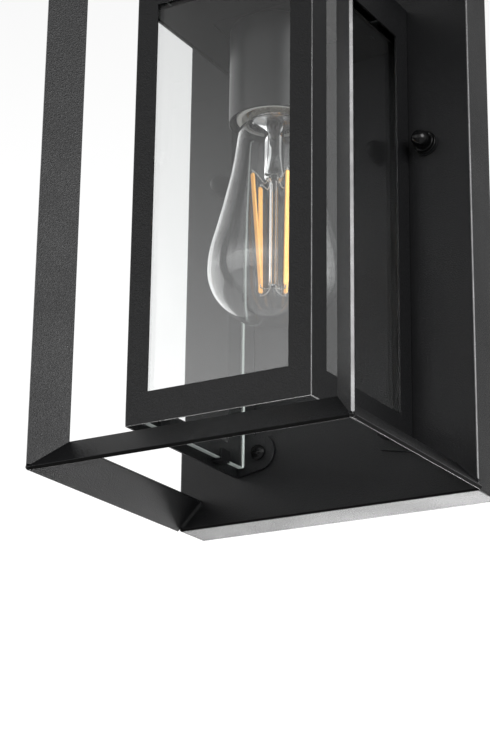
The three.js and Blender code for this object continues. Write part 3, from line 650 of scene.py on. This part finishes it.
def tube(bm, points, radius):
    """Adds a round wire through the points to bm, with closed ends."""
    side = None
    rings = []
    for i, point in enumerate(points):
        ahead = points[min(i + 1, len(points) - 1)] - points[max(i - 1, 0)]
        ahead.normalize()
        if side is None:
            side = ahead.orthogonal().normalized()
        side = (side - ahead * side.dot(ahead)).normalized()
        other = ahead.cross(side)
        rings.append([
            point + radius * (math.cos(angle) * side + math.sin(angle) * other)
            for angle in (2 * math.pi * k / WIRE_SIDES for k in range(WIRE_SIDES))
        ])
    skin(bm, rings)


# ---- Cage ----------------------------------------------------------------------------------------
STRIP_WIDTH = mm(19.7)
STRIP_THICKNESS = mm(2)
STRIP_EDGE = mm(0.3)  # the rounding of a strip's long edges
EDGE_INSET = STRIP_THICKNESS / 2 / math.sqrt(2)  # from the cage's sides to the middle of a strip's edge
CORNER_CUT = mm(1.5)  # how far the sharp tips of the mitres are cut back

# How squarely a face looks out of the cage, from 0 to 1; past these, faces take a painted highlight or
# painted shade.
EDGE_FROM = 0.9  # on a strip's outer edge
ROUNDING_FROM = 0.3  # on the rounding beside it
POST_EDGE_FROM = 0.6  # on a post's outer edge and the nearer part of its rounding


def cage_strip(node, start, end, inward, end_on_plate):
    """A strip set at 45 degrees, with its outer edge on the cage's edge and mitred ends."""
    run = (end - start).normalized()
    across = inward.normalized()
    thick = run.cross(across) * STRIP_THICKNESS / 2
    bm = bmesh.new()
    # Each pair says how deep in from the outer edge, and how far back the strip's end lies there.
    mitre = (
        (0, CORNER_CUT),
        (CORNER_CUT * math.sqrt(2), CORNER_CUT),
        (STRIP_WIDTH, STRIP_WIDTH / math.sqrt(2)),
    )
    square = ((0, 0), (STRIP_WIDTH, 0))
    for corner, direction, mitred in ((start, run, True), (end, -run, not end_on_plate)):
        for depth, back in mitre if mitred else square:
            ridge = corner + across * depth + direction * back
            face = ridge + direction * (EDGE_INSET if mitred else 0)
            for point in (ridge, face + thick, face - thick):
                bm.verts.new(point)
    hull = bmesh.ops.convex_hull(bm, input=bm.verts)
    unused = dict.fromkeys(hull["geom_interior"] + hull["geom_unused"])
    loose = [item for item in unused if isinstance(item, bmesh.types.BMVert)]
    bmesh.ops.delete(bm, geom=loose, context="VERTS")
    bmesh.ops.dissolve_limit(bm, angle_limit=FLAT_BELOW, verts=bm.verts, edges=bm.edges)
    long_edges = sharp_edges(bm, lambda middle, direction: abs(direction.dot(run)) > 0.99)
    round_edges(bm, long_edges, STRIP_EDGE, 3)
    piece = finish_piece(node + "_strip", bm, node)
    # a painted highlight along the post's outer edge and the nearer part of its rounding
    if run.z > 0.9:
        another_material(piece, "painted_highlight_edge", lambda normal, middle: -normal.dot(across) > POST_EDGE_FROM)
        return
    # painted shade on the bar's outer edge
    another_material(piece, "flat_coat_and_painted_shade", lambda normal, middle: -normal.dot(across) > EDGE_FROM)
    # a painted highlight on the rounding beside the outer edge of a bar that meets the plate
    if end_on_plate:
        another_material(
            piece, "painted_highlight_edge", lambda normal, middle: ROUNDING_FROM < -normal.dot(across) < EDGE_FROM
        )


def build_cage():
    side = CAGE_SIDE - EDGE_INSET
    front = CAGE_FRONT + EDGE_INSET
    for hand, sign in HANDS:
        start = Vector((sign * side, front, BOTTOM + EDGE_INSET))
        end = Vector((sign * side, front, TOP - EDGE_INSET))
        cage_strip(f"post_{hand}", start, end, Vector((-sign, 1, 0)), False)
    for level, edge, up in LEVELS:
        z = edge + up * EDGE_INSET
        left, right = Vector((-side, front, z)), Vector((side, front, z))
        cage_strip(f"bar_{level}_front", left, right, Vector((0, 1, up)), False)
        for hand, sign in HANDS:
            near, far = Vector((sign * side, front, z)), Vector((sign * side, PLATE_FRONT, z))
            cage_strip(f"bar_{level}_{hand}", near, far, Vector((-sign, 0, up)), True)


# ---- Welds ---------------------------------------------------------------------------------------
WELD = mm(1.4)
WELD_START = mm(3.2)  # from a strip's outer edge
WELD_STOP = mm(0.5)  # short of its inner edge
WELD_STEPS = 4
BEAD = mm(1.6)
BEAD_RIPPLE = 0.05


def weld(bm, start, end, first, second):
    """Adds a hollow fillet of weld to bm, in the corner between the directions first and second."""
    rings = []
    for place in (start, end):
        ring = [place]
        for i in range(WELD_STEPS + 1):
            angle = math.pi / 2 * i / WELD_STEPS
            ring.append(place + WELD * (first * (1 - math.sin(angle)) + second * (1 - math.cos(angle))))
        rings.append(ring)
    skin(bm, rings)


def bead(bm, centre):
    """Adds a small drop of weld to bm: a ball with shallow ripples, nowhere wider than BEAD."""
    drop = bmesh.ops.create_icosphere(bm, subdivisions=3, radius=BEAD)
    for vert in drop["verts"]:
        ripple = math.sin(9 * vert.co.x / BEAD) * math.sin(7 * vert.co.z / BEAD + 1)
        vert.co *= 1 - BEAD_RIPPLE * (1 + ripple)
        vert.co += centre


def build_welds():
    """A drop on each front corner of the cage, and a fillet along both sides of each bar on the plate."""
    for level, z, up in LEVELS:
        for hand, sign in HANDS:
            bm = bmesh.new()
            bead(bm, Vector((sign * (CAGE_SIDE - BEAD), CAGE_FRONT + BEAD, z + up * BEAD)))
            add_piece(f"corner_bead_{level}_{hand}", bm, "back_plate", "powder_coat", "nut_paint")
            across = Vector((-sign, 0, up)).normalized()
            normal = Vector((sign, 0, up)).normalized()
            edge = Vector((sign * (CAGE_SIDE - EDGE_INSET), PLATE_FRONT, z + up * EDGE_INSET))
            bm = bmesh.new()
            for side in (normal, -normal):
                near = edge + side * STRIP_THICKNESS / 2 + across * WELD_START
                far = edge + side * STRIP_THICKNESS / 2 + across * (STRIP_WIDTH - WELD_STOP)
                weld(bm, near, far, side, Vector((0, -1, 0)))
            add_piece(f"weld_{level}_{hand}", bm, "back_plate", "powder_coat")


# ---- Back plate ----------------------------------------------------------------------------------
PLATE_FOLD = mm(1.3)  # the outer radius of the folds
PLATE_EDGE = mm(0.25)


def on_upright_fold(normal, middle):
    """Whether a face is on the rounding of an upright fold, between a front and a side."""
    return abs(normal.x) > 0.25 and abs(normal.y) > 0.25 and abs(normal.z) < 0.2


def on_end_fold(normal, middle):
    """Whether a face is on the rounding of the plate's top or bottom fold."""
    return abs(normal.z) > 0.15 and abs(normal.y) > 0.15 and abs(middle.y - PLATE_FRONT) < PLATE_FOLD


def build_back_plate():
    """A folded pan, with a painted highlight along its sides' folds and painted shade along those of its
    top and bottom.
    """
    def on_fold(middle, direction):
        at_front = at(middle.y, PLATE_FRONT)
        at_side = at(abs(middle.x), HALF_WIDTH)
        at_end = at(middle.z, BOTTOM, TOP)
        return (at_front and (at_side or at_end)) or (at_side and at_end)

    bm = cad_copy("back_plate")
    round_edges(bm, sharp_edges(bm, on_fold), PLATE_FOLD, 6)
    round_edges(bm, sharp_edges(bm), PLATE_EDGE)
    piece = finish_piece("back_plate_sheet", bm, "back_plate")
    # a painted highlight on the upright folds, then painted shade on the top and bottom folds
    another_material(piece, "painted_highlight_edge", on_upright_fold)
    another_material(piece, "flat_coat_and_painted_shade", on_end_fold)


# ---- Lamp box ------------------------------------------------------------------------------------
HOUSING_FOLD = mm(0.9)  # the outer radius of the folds
PANE_CHAMFER = mm(0.35)


def build_lamp_box():
    """The glazed box of folded sheet, its ceiling and its cover, with a painted highlight on the box's
    upright folds.
    """
    def on_fold(middle, direction):
        upright = abs(direction.z) > 0.99
        at_side = at(abs(middle.x), housing_high.x)
        return upright and at_side and at(middle.y, housing_low.y, housing_high.y)

    piece = soften("lamp_housing", mm(0.14), bends=on_fold, bend_radius=HOUSING_FOLD)
    # a painted highlight on the box's upright folds
    another_material(piece, "painted_highlight_edge", on_upright_fold)
    soften("ceiling_plate", mm(0.15), material="flat_coat_and_painted_shade")
    soften("top_cover", mm(0.3))


def build_panes():
    """The glass panes, chamfered and ground along their edges."""
    for node, thin_axis in (("pane_front", 1), ("pane_left", 0), ("pane_right", 0)):
        bm = cad_copy(node)
        round_edges(bm, sharp_edges(bm), PANE_CHAMFER, 1)
        piece = finish_piece(node + "_glass", bm, node, smooth_below=math.radians(20))
        another_material(piece, "ground_edge", lambda normal, middle: abs(normal[thin_axis]) < 0.9)


# ---- Fixings -------------------------------------------------------------------------------------
# A cap nut's outline, in millimetres: radii, and heights from the plate.
NUT_BORE = 2.3
NUT_BORE_TOP = 9.3
NUT_SEAT = 1.6
NUT_FLANGE = {"radius": 6.0, "low": NUT_SEAT, "high": 2.9}
NUT_NECK = ((4.7, 2.9), (4.6, 3.0), (4.6, 3.5), (4.75, 3.6))
NUT_COLLAR = {"radius": 5.4, "low": 3.6, "high": 4.7}
NUT_ROUNDING = 0.3
NUT_BALL = 4.5
NUT_BALL_HEIGHT = 7.9
NUT_BALL_START = -43  # degrees: where the ball grows out of the collar


def rim(radius, low, high):
    """The outline of a disc's rounded rim, from its underside to its top."""
    inside = radius - NUT_ROUNDING
    lower = arc((inside, low + NUT_ROUNDING), NUT_ROUNDING, -90, 0, 3)
    upper = arc((inside, high - NUT_ROUNDING), NUT_ROUNDING, 0, 90, 3)
    return lower + upper


def build_cap_nut(hand):
    """A cap nut: a flange, a narrow neck and a collar under a ball, bored for its stud."""
    low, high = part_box(f"cap_nut_{hand}")
    centre = Vector(((low.x + high.x) / 2, PLATE_FRONT, (low.z + high.z) / 2))
    outline = [(NUT_BORE, NUT_SEAT), (5.6, NUT_SEAT)]
    outline += rim(**NUT_FLANGE)
    outline += NUT_NECK
    outline += rim(**NUT_COLLAR)
    outline += [(3.3, NUT_COLLAR["high"])]
    outline += arc((0, NUT_BALL_HEIGHT), NUT_BALL, NUT_BALL_START, 90, 20)
    outline += [(0, NUT_BORE_TOP + 0.1), (NUT_BORE, NUT_BORE_TOP), (NUT_BORE, NUT_SEAT)]
    bm = revolve(in_mm(outline), 64, centre, "-Y")
    finish_piece(f"cap_nut_{hand}_turned", bm, f"cap_nut_{hand}", "nut_paint")


def build_fixings():
    """The nuts, screws, washers and rivets, with the grommet and the strap behind the plate."""
    for hand, _ in HANDS:
        build_cap_nut(hand)
        turned_again(f"washer_{hand}", mm(0.15), axis="-Y")
        turned_again(f"stud_{hand}", mm(0.3), 32, "-Y")
    for hand, _ in HANDS:
        for level in ("lower", "upper"):
            soften(f"ear_screw_{level}_{hand}", mm(0.12), material="nut_paint")
            soften(f"ear_nut_{level}_{hand}", mm(0.2))
        turned_again(f"ceiling_rivet_{hand}", mm(0.2), 40, "-Y")
        soften(f"stud_locknut_{hand}", mm(0.2))
    turned_again("plate_grommet", mm(0.3), 48, "-Y")
    soften("mounting_strap", mm(0.25))


# ---- Lampholder ----------------------------------------------------------------------------------
SCREW_PITCH = mm(3.629)
THREAD_DEPTH = mm(0.75)
THREAD_LOW, THREAD_LOW_FADE = mm(3), mm(2)  # where it starts above the cap's lower end, and fades in
THREAD_HIGH, THREAD_HIGH_FADE = mm(2), mm(1.5)  # where it ends below the upper end, and fades out
THREAD_WALL = mm(0.5)  # only what lies this close to the cap's outside takes the thread
THREAD_STEP = mm(0.3)  # the spacing of the mesh's rings
CUP_WALL = mm(1)
CUP_ROUNDING = mm(2.5)
CUP_HOLE = mm(5.1)  # the radius of the hole for the nipple
CUP_LIP, CUP_INNER_LIP = mm(0.25), mm(0.2)


def build_screw_cap():
    """The bulb's cap, with the rolled thread of a standard screw base."""
    outline = lathe_outline("bulb_cap")[0]
    dense = []
    for first, last in zip(outline, outline[1:] + outline[:1]):
        steps = max(1, round(math.dist(first, last) / THREAD_STEP))
        for i in range(steps):
            share = i / steps
            dense.append(tuple(a + (b - a) * share for a, b in zip(first, last)))
    dense.append(dense[0])
    bm = revolve(dense, 72, LAMP)
    low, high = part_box("bulb_cap")
    threaded_from = (high.x - low.x) / 2 - THREAD_WALL
    for vert in bm.verts:
        out = Vector((vert.co.x - LAMP.x, vert.co.y - LAMP.y, 0))
        from_low = (vert.co.z - low.z - THREAD_LOW) / THREAD_LOW_FADE
        from_high = (high.z - vert.co.z - THREAD_HIGH) / THREAD_HIGH_FADE
        fade = min(1.0, max(0.0, from_low), max(0.0, from_high))
        if out.length > threaded_from and fade > 0:
            turns = (vert.co.z - low.z) / SCREW_PITCH - math.atan2(out.y, out.x) / (2 * math.pi)
            groove = 0.5 - 0.5 * math.cos(2 * math.pi * turns)
            vert.co -= out.normalized() * THREAD_DEPTH * fade * groove
    finish_piece("bulb_cap_threaded", bm, "bulb_cap", smooth_below=math.radians(50))


def build_socket_cup():
    """The spun cup over the lampholder: open below, with a rounded top and a hole for the nipple."""
    low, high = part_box("socket_cup")
    outer = (high.x - low.x) / 2
    inner = outer - CUP_WALL
    mouth, top = low.z, high.z
    outline = [
        (inner, mouth + CUP_INNER_LIP),
        (inner + CUP_INNER_LIP, mouth),
        (outer - CUP_LIP, mouth),
        (outer, mouth + CUP_LIP),
    ]
    outline += arc((outer - CUP_ROUNDING, top - CUP_ROUNDING), CUP_ROUNDING, 0, 90, 6)
    outline += [
        (CUP_HOLE, top),
        (CUP_HOLE, top - CUP_WALL),
        (outer - CUP_ROUNDING, top - CUP_WALL),
        (inner, top - CUP_ROUNDING),
        (inner, mouth + CUP_INNER_LIP),
    ]
    finish_piece("socket_cup_spun", revolve(outline, 96, LAMP), "socket_cup", "smooth_paint")


def build_lampholder():
    turned_again("lampholder_body", mm(0.6), 96)
    turned_again("screw_shell", mm(0.1), 72)
    for node in ("nipple", "nipple_washer", "bulb_insulator", "bulb_contact"):
        turned_again(node, mm(0.2), 48)
    soften("socket_plate", mm(0.3))
    soften("nipple_nut", mm(0.25))
    soften("centre_contact", mm(0.12))
    build_screw_cap()
    build_socket_cup()


# ---- Bulb ----------------------------------------------------------------------------------------
BULB_WALL = mm(0.9)
EQUATOR = mm(28.1)  # the bulb's widest height, above its tip
TAPER = mm(73)  # from there up to the neck
ROUND_STEPS = 14
GLASS_SMOOTH_BELOW = math.radians(60)


def envelope_outline(inset):
    """The bulb's outer outline, or its inner one when inset is the wall's thickness."""
    radius = (bulb_high.x - bulb_low.x) / 2
    equator = bulb_low.z + EQUATOR
    points = []
    for i in range(ROUND_STEPS + 1):
        angle = math.pi / 2 * i / ROUND_STEPS
        points.append((
            (radius - inset) * math.sin(angle),
            equator - (EQUATOR - inset) * math.cos(angle),
        ))
    # The bulb's radius along the taper, by the share of the taper, then above it, by the height.
    taper = (
        (0.08, radius - mm(0.3)),
        (0.165, radius - mm(1.35)),
        (0.3, mm(28.2)),
        (0.5, mm(24.6)),
        (0.75, mm(20.7)),
        (1.0, mm(18.1)),
    )
    neck = ((mm(3.1), mm(16.3)), (mm(5), mm(13.8)), (mm(6.4), mm(12.5)))
    points += [(outer - inset, equator + TAPER * share) for share, outer in taper]
    points += [(outer - inset, equator + TAPER + height) for height, outer in neck]
    points.append((mm(12.2) - inset, bulb_high.z))
    return smooth_outline(points, 4)


def build_bulb():
    """The blown envelope, open at the neck, with a wall of even thickness."""
    outline = envelope_outline(0) + list(reversed(envelope_outline(BULB_WALL)))
    bm = revolve(outline, 96, LAMP)
    finish_piece("bulb_envelope", bm, "bulb_glass", smooth_below=GLASS_SMOOTH_BELOW)


STEM_TUBE = mm(4.9)
STEM_ROD = mm(2.1)
PINCH_HEIGHT = mm(57)  # above the stem's lower end, where the rod widens into the tube
PINCH_REACH = mm(6)  # how far up and down the tube is flattened
PINCH_SQUEEZE = 0.55
PINCH_TURN = math.radians(31.05)  # which way the flattened pinch faces
PINCH_RIPPLE = mm(0.25)


def build_stem():
    """The glass stem: a flare in the neck, a tube, a flattened pinch and a rod to the lower wires."""
    low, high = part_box("bulb_stem")
    flare = (high.x - low.x) / 2
    bottom, top = low.z, high.z
    pinch = bottom + PINCH_HEIGHT
    outline = (
        (0, bottom),
        (STEM_ROD * 1.25, bottom + mm(1.1)),
        (STEM_ROD, bottom + mm(3.2)),
        (STEM_ROD, bottom + mm(25)),
        (STEM_ROD, pinch - mm(3)),
        (STEM_ROD * 1.2, pinch - mm(1.2)),
        (STEM_TUBE * 0.92, pinch + mm(0.4)),
        (STEM_TUBE, pinch + mm(3)),
        (STEM_TUBE, pinch + mm(9)),
        (STEM_TUBE, top - mm(8)),
        (STEM_TUBE + mm(1.6), top - mm(3)),
        (flare, top - mm(0.4)),
    )
    bm = revolve(smooth_outline(outline, 5) + [(flare, top), (0, top)], 48, LAMP)
    squeeze = Vector((math.sin(PINCH_TURN), -math.cos(PINCH_TURN), 0))
    for vert in bm.verts:
        share = max(0.0, 1 - abs(vert.co.z - pinch - mm(3)) / PINCH_REACH)
        out = vert.co - LAMP
        vert.co -= squeeze * out.dot(squeeze) * PINCH_SQUEEZE * share
        vert.co.z += PINCH_RIPPLE * math.sin(5 * math.atan2(out.y, out.x)) * share
    finish_piece("stem_drawn", bm, "bulb_stem", smooth_below=GLASS_SMOOTH_BELOW)


FILAMENTS = (1, 2, 3, 4)
FILAMENT_WIDTH = mm(2.5)
FILAMENT_DEPTH = mm(1.2)
FILAMENT_SIDES = 20
# Shares of a filament's length, and of its full width there: it is rounded off at both ends.
FILAMENT_PROFILE = (
    (0.0, 0.35), (0.006, 0.8), (0.02, 1.0), (0.3, 1.0), (0.5, 1.0),
    (0.7, 1.0), (0.98, 1.0), (0.994, 0.8), (1.0, 0.35),
)
SQUARISH = 0.6  # below 1, an oval's sides bulge towards the corners
PIN = mm(1.6)  # the metal end that sticks out of a filament
PIN_ROOT = mm(0.5)  # how far a pin starts inside the coating
PIN_RADIUS = mm(0.3)
LEAD_RADIUS = mm(0.32)
LEAD_GRIP = 0.8  # how far out along a pin its wire ends


def filament_ends(number):
    """The middles of the lower and the upper end of one filament."""
    corners = [vert.co.copy() for vert in NODES[f"filament_{number}"].data.vertices]
    corners.sort(key=lambda co: co.z)
    half = len(corners) // 2
    return sum(corners[:half], Vector()) / half, sum(corners[half:], Vector()) / half


def squarish(value):
    return math.copysign(abs(value) ** SQUARISH, value)


def build_filaments():
    """Flat oval bars with a coating, each with a bare metal pin at both ends."""
    for number in FILAMENTS:
        low, high = filament_ends(number)
        run = (high - low).normalized()
        middle = (low + high) / 2 - LAMP
        outward = Vector((middle.x, middle.y, 0)).normalized()
        sideways = run.cross(outward).normalized()
        depthwise = sideways.cross(run)
        rings = []
        for share, scale in FILAMENT_PROFILE:
            place = low.lerp(high, share)
            ring = []
            for k in range(FILAMENT_SIDES):
                angle = 2 * math.pi * k / FILAMENT_SIDES
                x = squarish(math.cos(angle)) * FILAMENT_WIDTH / 2
                y = squarish(math.sin(angle)) * FILAMENT_DEPTH / 2
                ring.append(place + scale * (x * sideways + y * depthwise))
            rings.append(ring)
        bm = bmesh.new()
        skin(bm, rings)
        finish_piece(f"filament_{number}_bar", bm, f"filament_{number}", smooth_below=GLASS_SMOOTH_BELOW)
        bm = bmesh.new()
        for end, away in ((low, -run), (high, run)):
            tube(bm, [end - away * PIN_ROOT, end + away * PIN], PIN_RADIUS)
        add_piece(f"filament_{number}_pins", bm, "bulb_cap", "nickel")


def lead(bm, tip, stops):
    """Adds a bent wire to bm, through stops of (share of the way out from the axis, height), to a tip."""
    out = Vector((tip.x - LAMP.x, tip.y - LAMP.y, 0))
    bends = [LAMP + out * share + Vector((0, 0, height)) for share, height in stops]
    tube(bm, curve_through([*bends, tip]), LEAD_RADIUS)


def build_leads():
    """Two pairs of bent wires hold the filaments' upper ends, and four more join their lower ends."""
    stem_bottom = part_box("bulb_stem")[0].z
    pinch = stem_bottom + PINCH_HEIGHT
    for pair, numbers in (("front", FILAMENTS[:2]), ("rear", FILAMENTS[2:])):
        bm = bmesh.new()
        for number in numbers:
            low, high = filament_ends(number)
            tip = high + (high - low).normalized() * PIN * LEAD_GRIP
            root, knee = pinch + mm(2), pinch - mm(3.2)
            lead(bm, tip, ((0.26, root), (0.4, knee), (0.8, tip.z - mm(1.2))))
        finish_piece(f"lead_{pair}_bent", bm, f"lead_wire_{pair}")
    bm = bmesh.new()
    for number in FILAMENTS:
        low, high = filament_ends(number)
        tip = low - (high - low).normalized() * PIN * LEAD_GRIP
        root, knee = stem_bottom + mm(2), stem_bottom - mm(1.2)
        lead(bm, tip, ((0.1, root), (0.35, knee), (0.75, tip.z - mm(0.2))))
    finish_piece("bridge_bent", bm, "filament_bridge")


# ---- CAD nodes -----------------------------------------------------------------------------------
def paint_cad_nodes():
    """Gives every CAD node its material; the nodes that no piece replaces are seen with it."""
    for node, piece in NODES.items():
        piece.data.materials.clear()
        piece.data.materials.append(MATERIALS[SLOT_OF[node]])


# ---- Floor and light -----------------------------------------------------------------------------
FLOOR_DROP = mm(800)  # below the lantern
FLOOR_SIZE = mm(6000)


def build_floor():
    bm = bmesh.new()
    bmesh.ops.create_grid(bm, x_segments=1, y_segments=1, size=FLOOR_SIZE / 2)
    mesh = bpy.data.meshes.new("floor")
    bm.to_mesh(mesh)
    bm.free()
    m = Nodes("floor_paper")
    m.principled(Base_Color=rgb(0.6, 0.6, 0.6), Roughness=0.8)
    mesh.materials.append(m.material)
    floor = bpy.data.objects.new("floor", mesh)
    floor.location = (0, 0, BOTTOM - FLOOR_DROP)
    bpy.context.scene.collection.objects.link(floor)


# Brightness of the studio from straight down (0) to straight up (1), behind the lantern and in front.
SKY_BACK = (
    (0.0, 0.1), (0.24, 0.5), (0.33, 1.4), (0.5, 1.5), (0.58, 1.2), (0.74, 0.95), (0.9, 0.7), (1.0, 0.3),
)
SKY_FRONT = (
    (0.0, 0.3), (0.5, 2.0), (0.6, 2.6), (0.66, 2.5), (0.7, 1.3), (0.73, 0.65), (0.78, 0.05), (1.0, 0.02),
)
SKY_BRIGHTEST = max(value for place, value in SKY_BACK + SKY_FRONT)
SKY_RIGHT = 0.5  # how bright the right side is, beside the left
FRONT_TO_BACK = (-0.4, 0.4)  # the directions along Y between which the front blends into the back
LEFT_TO_RIGHT = (-0.2, 0.5)  # and along X, between which the left blends into the right


def sky_ramp(tree, place, stops):
    """The brightness at a place between the stops, as a share of the brightest."""
    ramp = tree.nodes.new("ShaderNodeValToRGB")
    tree.links.new(place, ramp.inputs[0])
    elements = ramp.color_ramp.elements
    while len(elements) < len(stops):
        elements.new(0.5)
    for element, (position, value) in zip(elements, stops):
        element.position = position
        grey = value / SKY_BRIGHTEST
        element.color = rgb(grey, grey, grey)
    return ramp.outputs[0]


def map_range(tree, value, *limits):
    node = tree.nodes.new("ShaderNodeMapRange")
    tree.links.new(value, node.inputs["Value"])
    for name, limit in zip(("From Min", "From Max", "To Min", "To Max"), limits):
        node.inputs[name].default_value = limit
    return node.outputs[0]


def build_world():
    """A studio brightest near the lantern's own level, dark overhead in front, and dimmer on the right."""
    world = bpy.data.worlds.new("studio")
    world.use_nodes = True
    tree = world.node_tree
    split = tree.nodes.new("ShaderNodeSeparateXYZ")
    tree.links.new(tree.nodes.new("ShaderNodeTexCoord").outputs["Generated"], split.inputs[0])
    height = map_range(tree, split.outputs["Z"], -1.0, 1.0, 0.0, 1.0)
    mix = tree.nodes.new("ShaderNodeMix")
    mix.data_type = "RGBA"
    tree.links.new(map_range(tree, split.outputs["Y"], *FRONT_TO_BACK, 0.0, 1.0), mix.inputs["Factor"])
    tree.links.new(sky_ramp(tree, height, SKY_FRONT), mix.inputs["A"])
    tree.links.new(sky_ramp(tree, height, SKY_BACK), mix.inputs["B"])
    background = tree.nodes["Background"]
    tree.links.new(mix.outputs[2], background.inputs["Color"])
    bright_sides = (SKY_BRIGHTEST, SKY_BRIGHTEST * SKY_RIGHT)
    sideways = map_range(tree, split.outputs["X"], *LEFT_TO_RIGHT, *bright_sides)
    tree.links.new(sideways, background.inputs["Strength"])
    bpy.context.scene.world = world


def add_softbox(name, place, target, size, power):
    """An elliptical area light at the place, turned to the target."""
    data = bpy.data.lights.new(name, "AREA")
    data.shape = "ELLIPSE"
    data.size, data.size_y = size
    data.energy = power
    lamp = bpy.data.objects.new(name, data)
    lamp.location = place
    lamp.rotation_euler = (Vector(target) - Vector(place)).to_track_quat("-Z", "Y").to_euler()
    lamp.visible_transmission = False  # no image of the softbox in the stem of the bulb
    bpy.context.scene.collection.objects.link(lamp)


def build_lights():
    add_softbox("softbox_right", place=(1.45, -0.9, 0.42), target=(0, 0, 0), size=(1.1, 1.1), power=37)
    add_softbox("softbox_low", place=(-0.5, 1.6, -0.7), target=(0, 0, -0.15), size=(1.2, 0.4), power=14)


def match_display():
    bpy.context.scene.view_settings.view_transform = "Standard"


make_camera()
paint_cad_nodes()
build_cage()
build_welds()
build_back_plate()
build_lamp_box()
build_panes()
build_fixings()
build_lampholder()
build_bulb()
build_stem()
build_filaments()
build_leads()
build_floor()
build_world()
build_lights()
match_display()
